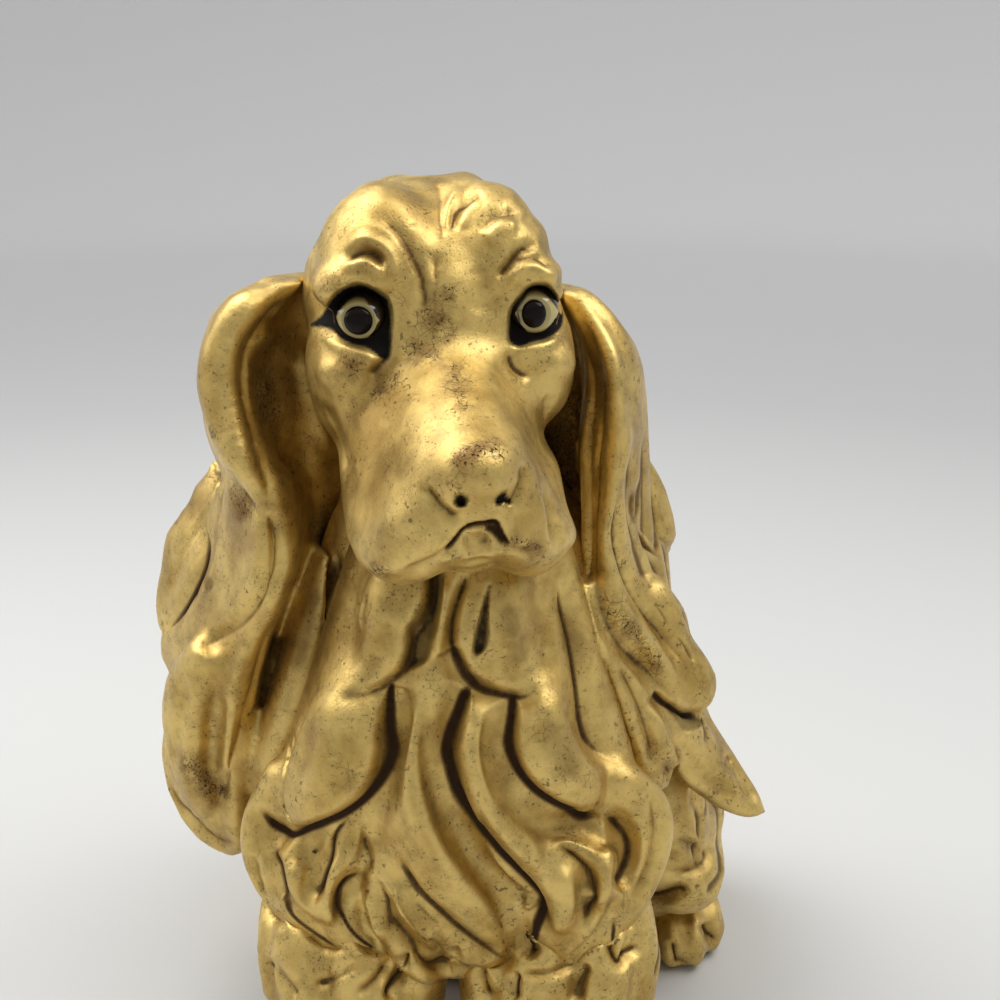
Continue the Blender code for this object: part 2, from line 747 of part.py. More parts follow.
def add_paw(form, place):
    """Adds a paw of four toes; its heel is at the frame's origin and it points along -Y."""
    instep = (0.48 * PAW_WIDTH, 0.46 * PAW_LENGTH, 0.60 * PAW_HEIGHT)
    add_ellipsoid(form, (0, -0.42 * PAW_LENGTH, 0.40 * PAW_HEIGHT), instep, place)
    toes = 4
    pitch = PAW_WIDTH / (toes + 0.4)
    for k in range(toes):
        across = (k - (toes - 1) / 2) * pitch
        reach = 0.80 - 0.09 * abs(k - (toes - 1) / 2) ** 2
        toe = (0.62 * pitch, 0.22 * PAW_LENGTH, 0.42 * PAW_HEIGHT)
        add_ellipsoid(form, (across, -reach * PAW_LENGTH, 0.36 * PAW_HEIGHT), toe, place, segments=12)


def foreleg_column(side):
    """The feathered foreleg as an upright column."""
    x = side * FORELEG_SPACING / 2
    half_width = FORELEG_WIDTH / 2
    half_depth = FORELEG_DEPTH / 2
    return Column(
        [
            (SEAT_Z, x, -FORELEG_FRONT, 0.74 * half_width, 0.78 * half_depth),
            (0.35 * FORELEG_TOP, x, 0.1 * FORELEG_LEAN - FORELEG_FRONT, half_width, 0.94 * half_depth),
            (0.7 * FORELEG_TOP, x, 0.55 * FORELEG_LEAN - FORELEG_FRONT, 0.96 * half_width, 0.80 * half_depth),
            (FORELEG_TOP, x, FORELEG_LEAN - FORELEG_FRONT, 0.80 * half_width, 0.60 * half_depth),
        ]
    )


def make_foreleg(name, side, finish, carriers):
    """Foreleg with feathering down to a four-toed paw."""
    column = foreleg_column(side)
    form = bmesh.new()
    column.add_to(form, 10)
    for angle in range(-120, 121, 48):
        sway = 14 * side
        spots = [
            (angle, 0.86 * FORELEG_TOP),
            (angle + sway, 0.55 * FORELEG_TOP),
            (angle - 0.4 * sway, 0.30 * FORELEG_TOP),
        ]
        column.add_lock(form, spots, LEG_LOCK_WIDTH, 0.55 * LOCK_RISE)
    heel = Matrix.Translation((side * FORELEG_SPACING / 2, FOREPAW_BACK - FORELEG_FRONT, 0))
    add_paw(form, heel)
    leg = add_object(name, form, finish)
    fuse(leg, FINE_CELL, 3, 520)
    stand(leg)
    seat(leg, *carriers)
    return leg


def hind_paw_place(side):
    """Heel of a hind paw, splayed outwards."""
    tuck = RIGHT_PAW_TUCK if side < 0 else 0
    x = side * (RUMP_WIDTH / 2 + HIND_PAW_OUT - tuck)
    return Matrix.Translation((x, HIND_PAW_BACK, 0)) @ Matrix.Rotation(
        math.radians(side * HIND_PAW_SPLAY), 4, "Z"
    )


def make_hind_paw(name, side, finish, carriers):
    """Hind paw set under the front of the haunch."""
    form = bmesh.new()
    place = hind_paw_place(side)
    add_paw(form, place)
    heel = (0.44 * PAW_WIDTH, 0.5 * PAW_LENGTH, 0.6 * PAW_HEIGHT)
    add_ellipsoid(form, (0, 0.15 * PAW_LENGTH, 0.5 * PAW_HEIGHT), heel, place)
    paw = add_object(name, form, finish)
    fuse(paw, FINE_CELL, 3, 320)
    stand(paw)
    seat(paw, *carriers)
    return paw


def make_haunch(name, side, finish, carriers):
    """Folded hind leg: a full thigh with combed locks that fall towards the hock."""
    form = bmesh.new()
    x = side * (RUMP_WIDTH / 2 - HAUNCH_SINK)
    centre = Vector((x, HAUNCH_BACK, HAUNCH_HEIGHT / 2 + HAUNCH_LIFT))
    half = Vector((HAUNCH_WIDTH / 2, HAUNCH_LENGTH / 2, HAUNCH_HEIGHT / 2))
    add_ellipsoid(form, centre, half)
    hock = hind_paw_place(side) @ Vector((0, -0.7 * PAW_LENGTH, 1.35 * PAW_HEIGHT))
    add_ellipsoid(form, hock, (0.46 * PAW_WIDTH, 0.5 * PAW_LENGTH, 0.5 * PAW_HEIGHT))
    for lean in (-52, -18, 16, 50):
        path = []
        outs = []
        for fall in (62, 28, -6, -40):
            pan = math.radians(lean + 0.22 * fall)
            drop = math.radians(fall)
            level = math.cos(drop)
            out = Vector((side * math.cos(pan) * level, math.sin(pan) * level, math.sin(drop)))
            path.append(centre + Vector((out.x * half.x, out.y * half.y, out.z * half.z)))
            outs.append(out)
        add_lock(form, path, outs, HAUNCH_LOCK_WIDTH, 0.6 * LOCK_RISE)
    haunch = add_object(name, form, finish)
    fuse(haunch, COARSE_CELL, 2, 480)
    stand(haunch)
    seat(haunch, *carriers)
    return haunch


def make_tail(finish, carriers):
    """Short docked tail with its feathering, against the back of the rump."""
    root = Vector((0, RUMP_BACK + RUMP_DEPTH / 2 - TAIL_SINK, TAIL_HEIGHT))
    tip = root + Vector((0, TAIL_LENGTH, TAIL_RISE))
    bend = (root + tip) / 2 - Vector((0, 0, TAIL_SAG))
    form = bmesh.new()
    up = Vector((0, -0.2, 1))
    add_lock(form, [root, bend, tip], [up] * 3, TAIL_WIDTH, 0.36 * TAIL_WIDTH)
    for side in (-1, 0, 1):
        shift = Vector((side * 0.28 * TAIL_WIDTH, 0, 0.14 * TAIL_WIDTH))
        strand = [root + shift, bend + shift, tip + shift * 0.4 - Vector((0, TAIL_SAG, 0))]
        add_lock(form, strand, [up] * 3, 0.42 * TAIL_WIDTH, 0.28 * TAIL_WIDTH)
    tail = add_object("tail", form, finish)
    fuse(tail, FINE_CELL, 2, 320)
    stand(tail)
    seat(tail, *carriers)
    return tail


# Felt


def add_felt(name, finish, place, half_width, half_length, hole=0.0):
    """Felt pad under a foot: an ellipse, or a ring where the pour hole stays open."""
    form = bmesh.new()
    count = 20
    angles = np.linspace(0, 2 * math.pi, count, endpoint=False)

    def ring(width, length, height):
        points = [(width * math.cos(a), length * math.sin(a), height) for a in angles]
        return [form.verts.new(place @ Vector(point)) for point in points]

    if hole:
        loops = [
            ring(half_width, half_length, 0),
            ring(half_width, half_length, FELT_THICKNESS),
            ring(hole, hole, FELT_THICKNESS),
            ring(hole, hole, 0),
        ]
        pairs = list(zip(loops, loops[1:] + loops[:1]))
    else:
        loops = [ring(half_width, half_length, 0), ring(half_width, half_length, FELT_THICKNESS)]
        pairs = [(loops[0], loops[1])]
        form.faces.new(loops[0][::-1])
        form.faces.new(loops[1])
    for lower, upper in pairs:
        for i in range(count):
            j = (i + 1) % count
            form.faces.new((lower[i], lower[j], upper[j], upper[i]))
    return add_object(name, form, finish)


def make_felt_pads(finish):
    """One pad under each paw and a ring under the rump."""
    for name, side in (("right", -1), ("left", 1)):
        x = side * FORELEG_SPACING / 2
        fore = Matrix.Translation((x, -FORELEG_FRONT - 0.30 * PAW_LENGTH, 0))
        half_width = 0.40 * PAW_WIDTH - FELT_INSET
        half_length = 0.5 * PAW_LENGTH - FELT_INSET
        add_felt(f"felt_pad_fore_{name}", finish, fore, half_width, half_length)
        hind = hind_paw_place(side) @ Matrix.Translation((0, -0.34 * PAW_LENGTH, 0))
        add_felt(f"felt_pad_hind_{name}", finish, hind, half_width, half_length)
    rump = Matrix.Translation((0, RUMP_BACK, 0))
    inset = 4 * FELT_INSET
    add_felt(
        "felt_ring_rump",
        finish,
        rump,
        0.46 * RUMP_WIDTH - inset,
        0.46 * RUMP_DEPTH - inset,
        POUR_HOLE / 2 + FELT_INSET,
    )


def centre_on_origin():
    """Parents every piece to an empty that centres the figure's box on the origin."""
    bpy.context.view_layer.update()
    pieces = [o for o in bpy.data.objects if o.type == "MESH"]
    corners = np.array([o.matrix_world @ v.co for o in pieces for v in o.data.vertices])
    middle = (corners.min(axis=0) + corners.max(axis=0)) / 2
    figure = bpy.data.objects.new("figure", None)
    bpy.context.scene.collection.objects.link(figure)
    figure.location = (-middle[0], -middle[1], 0)
    for piece in pieces:
        piece.parent = figure


def main():
    for obj in list(bpy.data.objects):
        bpy.data.objects.remove(obj)
    gilt = material("gilded_pottery", (0.60, 0.42, 0.13), 0.34, 1.0)
    cream = material("cream_glass", (0.72, 0.62, 0.40), 0.08, 0.0)
    black = material("black_glass", (0.012, 0.012, 0.014), 0.05, 0.0)
    felt = material("brown_felt", (0.10, 0.06, 0.04), 0.95, 0.0)
    body = make_body_shell(gilt)
    mane = make_chest_mane(gilt, body)
    sides = (("right", -1), ("left", 1))
    eyes = []
    for name, side in sides:
        pupil = make_pupil(f"pupil_{name}", side, black)
        eye = make_eye(f"eye_{name}", side, cream, pupil)
        eyes += [eye, pupil]
    head = make_head(gilt, body, mane, eyes)
    for name, side in sides:
        leg = make_foreleg(f"foreleg_{name}", side, gilt, [body, mane])
        haunch = make_haunch(f"haunch_{name}", side, gilt, [body])
        make_hind_paw(f"hind_paw_{name}", side, gilt, [body, haunch, leg])
        make_ear(f"ear_{name}", side, gilt, [head, body, mane, leg, haunch])
    make_tail(gilt, [body])
    make_felt_pads(felt)
    for piece in bpy.data.objects:
        finish_shading(piece)
    centre_on_origin()


main()
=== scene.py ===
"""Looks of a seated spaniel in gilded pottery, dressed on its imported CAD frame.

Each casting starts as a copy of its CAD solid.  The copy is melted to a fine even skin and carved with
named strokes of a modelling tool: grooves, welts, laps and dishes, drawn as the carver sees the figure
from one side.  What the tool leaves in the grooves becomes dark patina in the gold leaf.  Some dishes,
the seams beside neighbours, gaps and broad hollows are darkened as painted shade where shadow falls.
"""

import logging
import math
from dataclasses import dataclass, field
from enum import Enum
from functools import partial

import bpy
import numpy as np
from mathutils import Matrix, Vector
from mathutils.bvhtree import BVHTree


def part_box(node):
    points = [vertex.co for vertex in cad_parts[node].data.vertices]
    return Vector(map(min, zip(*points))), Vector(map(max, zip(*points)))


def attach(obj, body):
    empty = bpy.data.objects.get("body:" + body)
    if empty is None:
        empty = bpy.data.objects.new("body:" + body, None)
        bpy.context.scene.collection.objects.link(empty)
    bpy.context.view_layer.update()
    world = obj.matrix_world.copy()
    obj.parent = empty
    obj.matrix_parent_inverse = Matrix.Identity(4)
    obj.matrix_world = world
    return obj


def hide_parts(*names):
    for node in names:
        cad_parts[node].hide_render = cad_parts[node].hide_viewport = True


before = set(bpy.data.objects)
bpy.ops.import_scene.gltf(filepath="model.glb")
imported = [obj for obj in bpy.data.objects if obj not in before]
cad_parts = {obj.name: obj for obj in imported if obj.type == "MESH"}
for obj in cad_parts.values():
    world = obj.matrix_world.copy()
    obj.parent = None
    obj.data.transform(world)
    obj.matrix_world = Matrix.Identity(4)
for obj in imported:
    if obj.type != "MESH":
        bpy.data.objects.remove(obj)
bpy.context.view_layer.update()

LOG = logging.getLogger("spaniel")
MM = 0.001
SHARP = math.radians(40)
PIXELS = 1000
SENSOR = 36.0
TINY = 1e-9
HAIR = 1e-6
BATCH = 4000
RUMP_FROM_ORIGIN = Vector((0.0, 0.066, 0.0))
LENS_FROM_ORIGIN = Vector((0.0692, -0.465, 0.350))
LENS_TURN = 7.0
LENS_PITCH = 18.0
LENS_FOCAL = 1500.0


def figure_origin() -> Vector:
    """Finds the point on the shelf that the figure was drawn from.

    Returns:
        The origin of the drawing, in metres in the row frame.
    """
    low, high = (Vector(corner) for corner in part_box("felt_ring_rump"))
    middle = (low + high) / 2
    return Vector((middle.x, middle.y, 0)) - RUMP_FROM_ORIGIN


# Views and strokes


@dataclass(frozen=True)
class View:
    """A side that the figure is carved from.

    Seen through a lens, strokes are drawn in pixels of a square frame.  Without one they are drawn in
    millimetres from the spot, to the right and down.  The grip gives how squarely the skin must face
    the carver, as the cosine at which the tool starts to bite and that at which it bites fully.
    """

    spot: tuple[float, float, float]
    azimuth: float
    pitch: float = 0.0
    focal: float = 0.0
    grip: tuple[float, float] = (0.1, 0.4)

    def axes(self) -> np.ndarray:
        """Gives the right, up and forward directions as rows."""
        turn, tip = math.radians(self.azimuth), math.radians(self.pitch)
        right = np.array((math.cos(turn), math.sin(turn), 0.0))
        forward = np.array(
            (-math.sin(turn) * math.cos(tip), math.cos(turn) * math.cos(tip), -math.sin(tip))
        )
        return np.array((right, np.cross(right, forward), forward))

    def project(self, points: np.ndarray) -> tuple[np.ndarray, np.ndarray, np.ndarray]:
        """Finds where points lie in the drawing.

        Args:
            points: Rows of x, y and z in metres.

        Returns:
            Places in the drawing, depths in millimetres and unit directions towards the viewer.
        """
        axes = self.axes()
        offset = (points - np.array(self.spot)) / MM
        right, up, depth = (offset @ axes.T).T
        if not self.focal:
            return np.stack((right, -up), axis=1), depth, np.broadcast_to(-axes[2], points.shape)
        scale = self.focal / depth
        place = np.stack((PIXELS / 2 + right * scale, PIXELS / 2 - up * scale), axis=1)
        return place, depth, -offset / np.linalg.norm(offset, axis=1, keepdims=True)

    def unit(self, depth: np.ndarray) -> np.ndarray:
        """Gives the length in metres of one unit of the drawing at each depth."""
        return depth / self.focal * MM if self.focal else np.full_like(depth, MM)


class Tool(Enum):
    """What a stroke does to the clay across its path."""

    GROOVE = "a cut with rounded shoulders"
    WELT = "a rounded ridge"
    PART = "a parting from which the clay swells to either side"
    LAP = "an edge that stands over its neighbour: left of a path drawn down, right of one drawn up"
    DISH = "a wide soft hollow"
    RUB = "a place that is only rubbed, not cut"


def read_line(line: str) -> np.ndarray:
    """Reads places written as x,y pairs with spaces between them."""
    return np.array([[float(number) for number in pair.split(",")] for pair in line.split()])


def mirrored(line: str, side: int) -> str:
    """Turns a line left to right where the side is -1."""
    return " ".join(f"{x * side:.2f},{y:.2f}" for x, y in read_line(line))


def bend_through(places: np.ndarray, step: float, closed: bool = False) -> np.ndarray:
    """Draws a smooth curve through places.

    Args:
        places: Rows of x and y.
        step: Spacing of the points that are read off the curve.
        closed: Whether the curve returns to its start.

    Returns:
        Points along the curve, about a step apart.
    """
    if closed:
        padded = np.vstack((places[-1:], places, places[:2]))
    else:
        padded = np.vstack((2 * places[0] - places[1], places, 2 * places[-1] - places[-2]))
    points = []
    for before, start, end, after in zip(padded, padded[1:], padded[2:], padded[3:]):
        count = max(2, int(math.ceil(np.linalg.norm(end - start) / step)))
        share = np.linspace(0, 1, count, endpoint=False)[:, None]
        points.append(
            0.5
            * (
                2 * start
                + (end - before) * share
                + (2 * before - 5 * start + 4 * end - after) * share**2
                + (3 * start - before - 3 * end + after) * share**3
            )
        )
    if not closed:
        points.append(places[-1:])
    return np.vstack(points)


def ease(value: np.ndarray, low: float, high: float) -> np.ndarray:
    """Rises smoothly from 0 at low to 1 at high."""
    share = np.clip((value - low) / (high - low), 0, 1)
    return share * share * (3 - 2 * share)


@dataclass(frozen=True)
class Stroke:
    """One stroke of the modelling tool: its path, half width in the drawing and depth in millimetres.

    The touch is the share of its width that is left where the tool lifts off.  Patina lies in a cut as
    a line of at least so many units, or of a share of the width.  The darkness is patina in cuts, and
    painted shade on the strokes that stand for shadow in gaps and on places turned from the light.
    """

    tool: Tool
    line: str
    width: float
    depth: float
    # Patina in cuts; painted shade on the shade strokes
    dark: float = 0.0
    fade: tuple[float, float] = (0.22, 0.22)
    touch: float = 0.4
    patina: float = 2.2
    patina_share: float = 0.13

    def reach(self) -> float:
        """How far from its path the stroke still moves the clay."""
        spread = {Tool.GROOVE: 1.2, Tool.PART: 1.0, Tool.LAP: 1.5}
        return spread.get(self.tool, 2.2) * self.width

    def across(self, gap: np.ndarray, side: np.ndarray, press: np.ndarray) -> tuple[np.ndarray, np.ndarray]:
        """Gives the stroke's profile.

        Args:
            gap: Distances from the path.
            side: Signed distances, positive on the side that a lap raises.
            press: How hard the tool presses there, from 0 at the stroke's ends to 1.

        Returns:
            Heights in millimetres and shares of dark patina.
        """
        pressed = self.touch + (1 - self.touch) * press
        share = gap / (self.width * pressed)
        if self.tool is Tool.GROOVE:
            return -self.depth * np.clip(1 - share**2, 0, 1) ** 1.5, np.exp(-((share / 0.8) ** 2))
        if self.tool in (Tool.PART, Tool.LAP):
            under = (side < 0) if self.tool is Tool.LAP else np.zeros(len(gap), dtype=bool)
            over = 0.6 if self.tool is Tool.LAP else 1.0
            up = np.clip(gap / (over * self.width), 0, 1)
            rise = 0.7 * np.sin(up * math.pi / 2) + 0.3 * np.sqrt(1 - (1 - up) ** 2)
            rise = np.where(under, ease(gap, -0.5 * self.width, 1.2 * self.width), rise)
            line = max(self.patina, self.patina_share * self.width) * pressed
            aside = np.where(under, 0.5, 0) * line
            return -self.depth * (1 - rise), np.exp(-(((gap - aside) / line) ** 2))
        swell = np.exp(-(share**2))
        if self.tool is Tool.WELT:
            return self.depth * swell, np.zeros_like(gap)
        if self.tool is Tool.RUB:
            return np.zeros_like(gap), swell
        return -self.depth * swell, swell


@dataclass(frozen=True)
class Recess:
    """A sunk place with a crisp rim: its outline, its depth in millimetres and how dark it is painted,
    which in gaps and under overhangs is painted shade.
    """

    outline: str
    depth: float
    dark: float
    rim: float = 2.5


@dataclass(frozen=True)
class Pull:
    """A grab that shifts the clay across the drawing, to mend an outline."""

    spot: tuple[float, float]
    shift: tuple[float, float]
    radius: float


# Strokes by the name of their tool
groove = partial(Stroke, Tool.GROOVE)
part = partial(Stroke, Tool.PART)
welt = partial(Stroke, Tool.WELT)
lap = partial(Stroke, Tool.LAP)
dish = partial(Stroke, Tool.DISH)


def rub(line: str, width: float, worn: float, **more) -> Stroke:
    """A place where the leaf is rubbed down to the ground."""
    return Stroke(Tool.RUB, line, width, 0.0, worn, **more)


class Clay:
    """The skin of one casting while it is carved, as arrays of points, patina with painted shade, and black
    painted places.

    Three sizes say what a view shows: the cells that its drawing is searched in, in pixels or in
    millimetres, and how far behind the foremost skin, in millimetres, the tool still reaches.  A path
    is read off in steps of a share of its width, but not below the least step.  The others are the
    least depth of an eye socket, the width and darkness of the painted shadow line along the seam beside
    a neighbour, the depths and the height at which a hollow counts as full of waxed patina and painted
    shade and an edge as rubbed, over how many rounds of evening out they are measured, and how much each
    kind of hollow counts.
    """

    lens_cell = 5.0
    flat_cell = 2.0
    tool_reach = 11.0
    least_step = 1.5
    step_share = 0.1
    least_sink = 0.8
    seam = 1.2
    seam_shadow = 0.7
    fine_hollow = 0.3
    fine_rounds = 6
    fine_weight = 0.5
    broad_hollow = 2.0
    broad_rounds = 40
    broad_weight = 0.65
    rubbed_rise = 0.16

    def __init__(self, piece: bpy.types.Object) -> None:
        """Reads the skin of a piece.

        Args:
            piece: Mesh object at the origin.
        """
        self.mesh = piece.data
        count = len(self.mesh.vertices)
        self.points = np.empty(count * 3)
        self.mesh.vertices.foreach_get("co", self.points)
        self.points = self.points.reshape(-1, 3)
        edges = np.empty(len(self.mesh.edges) * 2, dtype=np.int32)
        self.mesh.edges.foreach_get("vertices", edges)
        self.ends = edges.reshape(-1, 2).T
        self.valence = np.maximum(1, np.bincount(edges, minlength=count))
        self.dark = np.zeros(count)
        self.paint_and_shade = np.zeros(count)
        self.worn = np.zeros(count)
        self.give = np.ones(count)

    def around(self, values: np.ndarray) -> np.ndarray:
        """Averages each point's neighbours."""
        one, other = self.ends
        count = len(self.points)
        total = np.bincount(one, weights=values[other], minlength=count)
        total += np.bincount(other, weights=values[one], minlength=count)
        return total / self.valence

    def relax(self, values: np.ndarray, rounds: int, share: float = 0.5) -> np.ndarray:
        """Evens values out along the skin.

        Args:
            values: One number or one row of three for each point.
            rounds: How many times each point moves towards its neighbours.
            share: How far it moves each time.

        Returns:
            The evened values.
        """
        if values.ndim == 2:
            return np.stack([self.relax(column, rounds, share) for column in values.T], axis=1)
        for _ in range(rounds):
            values = values + share * (self.around(values) - values)
        return values

    def normals(self, rounds: int = 3) -> np.ndarray:
        """Gives the direction out of the skin at each point, evened over its surroundings."""
        self.write()
        found = np.empty(len(self.points) * 3)
        self.mesh.vertex_normals.foreach_get("vector", found)
        found = self.relax(found.reshape(-1, 3), rounds)
        return found / np.maximum(TINY, np.linalg.norm(found, axis=1, keepdims=True))

    def write(self) -> None:
        """Puts the points back into the mesh."""
        self.mesh.vertices.foreach_set("co", self.points.ravel())
        self.mesh.update()

    def seen(self, view: View) -> tuple[np.ndarray, np.ndarray, np.ndarray]:
        """Finds what a view shows.

        Args:
            view: The side that the carver looks from.

        Returns:
            Places in the drawing, how fully each point faces the viewer, from 0 to 1, and normals.
        """
        normals = self.normals()
        place, depth, toward = view.project(self.points)
        cell = self.lens_cell if view.focal else self.flat_cell
        index = np.floor((place - place.min(axis=0)) / cell).astype(int)
        flat = index[:, 0] * (index[:, 1].max() + 1) + index[:, 1]
        front = np.full(flat.max() + 1, np.inf)
        np.minimum.at(front, flat, depth)
        facing = ease((normals * toward).sum(axis=1), *view.grip)
        shown = self.relax((depth < front[flat] + self.tool_reach).astype(float), 3)
        return place, facing * ease(shown, 0.4, 1.0), normals

    def near(
        self, place: np.ndarray, path: np.ndarray, reach: float, shown: np.ndarray
    ) -> tuple[np.ndarray, ...]:
        """Measures the points near a path.

        Args:
            place: Places of all points in the drawing.
            path: Points along the path.
            reach: Farthest distance that counts.
            shown: Which points the drawing shows.

        Returns:
            Which points are near, their distances, signed distances and shares along the path.
        """
        inside = np.all((place > path.min(axis=0) - reach) & (place < path.max(axis=0) + reach), axis=1)
        chosen = np.flatnonzero(inside & shown)
        spots, path = place[chosen].astype(np.float32), path.astype(np.float32)
        gap = np.empty(len(chosen))
        best = np.empty(len(chosen), dtype=int)
        for start in range(0, len(chosen), BATCH):
            rows = slice(start, start + BATCH)
            away = (spots[rows, :1] - path[:, 0]) ** 2 + (spots[rows, 1:] - path[:, 1]) ** 2
            best[rows] = away.argmin(axis=1)
            gap[rows] = np.sqrt(away.min(axis=1))
        heading = np.gradient(path, axis=0)
        heading /= np.maximum(TINY, np.linalg.norm(heading, axis=1, keepdims=True))
        offset = place[chosen] - path[best]
        side = heading[best, 0] * offset[:, 1] - heading[best, 1] * offset[:, 0]
        return chosen, gap, np.sign(side) * gap, best / max(1, len(path) - 1)

    def carve(self, view: View, strokes: dict[str, Stroke]) -> None:
        """Works strokes into the skin, all at once, so that crossing grooves don't add up.

        Args:
            view: The side that the strokes are drawn from.
            strokes: The strokes by name.
        """
        place, facing, normals = self.seen(view)
        raised = np.zeros(len(self.points))
        cut = np.zeros(len(self.points))
        for stroke in strokes.values():
            step = max(self.least_step, self.step_share * stroke.width)
            path = bend_through(read_line(stroke.line), step)
            chosen, gap, side, along = self.near(place, path, stroke.reach(), facing > 0)
            start, end = stroke.fade
            press = ease(along, -HAIR, start) * ease(1 - along, -HAIR, end)
            height, dark = stroke.across(gap, side, press)
            weight = facing[chosen] * press
            height = height * weight * self.give[chosen]
            if stroke.tool in (Tool.GROOVE, Tool.PART, Tool.LAP):
                cut[chosen] = np.minimum(cut[chosen], height)
            else:
                raised[chosen] += height
            # Rubs mark wear; the other strokes mark patina, and painted shade where they stand for shadow
            stain_and_shade = self.worn if stroke.tool is Tool.RUB else self.dark
            stain_and_shade[chosen] = np.maximum(stain_and_shade[chosen], stroke.dark * dark * weight)
        self.points += normals * ((raised + cut) * MM)[:, None]

    def inside(
        self, place: np.ndarray, shown: np.ndarray, outline: str, step: float, rim: tuple[float, float]
    ) -> tuple[np.ndarray, np.ndarray, float]:
        """Finds the points in and round an outline.

        Args:
            place: Places of all points in the drawing.
            shown: Which points the drawing shows.
            outline: The outline in the drawing.
            step: Spacing of the points that are read off the outline.
            rim: Distances inwards at which the rim starts and ends.

        Returns:
            Which points are near, how far in each lies, from 0 to 1, and the outline's mean height.
        """
        path = bend_through(read_line(outline), step, closed=True)
        chosen, gap, _, _ = self.near(place, path, 4 * rim[1], shown)
        signed = np.where(within(place[chosen], path), gap, -gap)
        return chosen, ease(signed, *rim), path[:, 1].mean()

    def sink(self, view: View, recesses: dict[str, Recess]) -> None:
        """Presses recesses straight in from a view and paints them dark; in gaps and under overhangs this
        is painted shade.

        Args:
            view: The side that the outlines are drawn from.
            recesses: The recesses by name.
        """
        place, facing, _ = self.seen(view)
        _, _, toward = view.project(self.points)
        for recess in recesses.values():
            rim = (-0.4 * recess.rim, recess.rim)
            chosen, level, _ = self.inside(place, facing > 0, recess.outline, 1.0, rim)
            self.points[chosen] -= toward[chosen] * (recess.depth * MM * level)[:, None]
            self.paint_and_shade[chosen] = np.maximum(self.paint_and_shade[chosen], recess.dark * level)

    def level(self, view: View, outline: str, depth: float, rim: float, tip: float) -> None:
        """Flattens what lies inside an outline, as the floor of an eye socket.

        Args:
            view: The side that the outline is drawn from.
            outline: The outline in the drawing.
            depth: Depth of the floor in millimetres, in the middle of the outline.
            rim: Width of the rim in the drawing.
            tip: How much nearer the floor comes, in millimetres, for each unit further down.
        """
        place, facing, _ = self.seen(view)
        _, deep, toward = view.project(self.points)
        chosen, share, middle = self.inside(place, facing > 0, outline, 1.0, (-0.4 * rim, rim))
        floor = depth - tip * (place[chosen, 1] - middle)
        sunk = np.maximum(self.least_sink, floor - deep[chosen])
        self.points[chosen] -= toward[chosen] * (sunk * MM * share)[:, None]
        self.paint_and_shade[chosen] = np.maximum(self.paint_and_shade[chosen], share)

    def over(self, node: str, reach: float) -> tuple[np.ndarray, np.ndarray]:
        """Measures the skin's height over a neighbour.

        Args:
            node: Name of the neighbour's CAD node.
            reach: Greatest height in millimetres that is looked for.

        Returns:
            Heights in millimetres, below 0 inside the neighbour, and the mean way into it.
        """
        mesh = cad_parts[node].data
        faces = [face.vertices for face in mesh.polygons]
        tree = BVHTree.FromPolygons([vertex.co for vertex in mesh.vertices], faces)
        low, high = (np.array(corner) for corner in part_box(node))
        around = np.all((self.points > low - reach * MM) & (self.points < high + reach * MM), axis=1)
        height = np.full(len(self.points), reach)
        heading = np.zeros(3)
        for index in np.flatnonzero(around):
            spot = Vector(self.points[index])
            found, normal, _, away = tree.find_nearest(spot, reach * MM)
            if found is None:
                continue
            height[index] = away / MM if (spot - found).dot(normal) > 0 else -away / MM
            if away < MM:
                heading -= np.array(normal)
        return height, heading / max(TINY, np.linalg.norm(heading))

    def guard(self, node: str, reach: float) -> None:
        """Keeps the tool off the skin where it thins out over a neighbour.

        Args:
            node: Name of the neighbour's CAD node.
            reach: Distance in millimetres from which the tool cuts at its full depth.
        """
        height, _ = self.over(node, reach)
        away = np.maximum(0, height)
        self.give = np.minimum(self.give, self.relax(ease(away, 0.25 * reach, reach), 4))

    def pull(self, view: View, pulls: dict[str, Pull]) -> None:
        """Shifts the clay across a view.

        Args:
            view: The side that the pulls are drawn from.
            pulls: The pulls by name.
        """
        right, up, _ = view.axes()
        for one in pulls.values():
            place, depth, _ = view.project(self.points)
            away = np.linalg.norm(place - np.array(one.spot), axis=1) / one.radius
            weight = np.exp(-(away**2)) * view.unit(depth)
            self.points += weight[:, None] * (one.shift[0] * right - one.shift[1] * up)

    def soften(self, view: View, outline: str, rim: float, rounds: int) -> None:
        """Evens out the skin inside an outline.

        Args:
            view: The side that the outline is drawn from.
            outline: The outline in the drawing.
            rim: Width over which the evening fades out.
            rounds: How many times each point moves towards its neighbours.
        """
        place, facing, _ = self.seen(view)
        share = np.zeros(len(self.points))
        chosen, level, _ = self.inside(place, facing > 0, outline, 2.0, (-0.5 * rim, 0.5 * rim))
        share[chosen] = level
        share = self.relax(share, 4)
        for _ in range(rounds):
            even = np.stack([self.around(column) for column in self.points.T], axis=1)
            self.points += 0.5 * share[:, None] * (even - self.points)

    def lute(self, node: str, reach: float, sink: float) -> None:
        """Sinks the skin beside a neighbour into it, all one way, and darkens the seam between them as a
        painted shadow line.

        Args:
            node: Name of the neighbour's CAD node.
            reach: Distance in millimetres at which the sinking starts.
            sink: How far the skin sinks in millimetres where it touches.
        """
        height, heading = self.over(node, reach)
        share = self.relax(np.clip(1 - height / reach, 0, 1), 6)
        self.points += heading * (share * share * sink * MM)[:, None]
        # A painted shadow line along the seam, under the neighbour's rim
        seam = np.clip(1 - np.abs(height - sink * share * share) / self.seam, 0, 1)
        self.dark = np.maximum(self.dark, self.seam_shadow * seam)

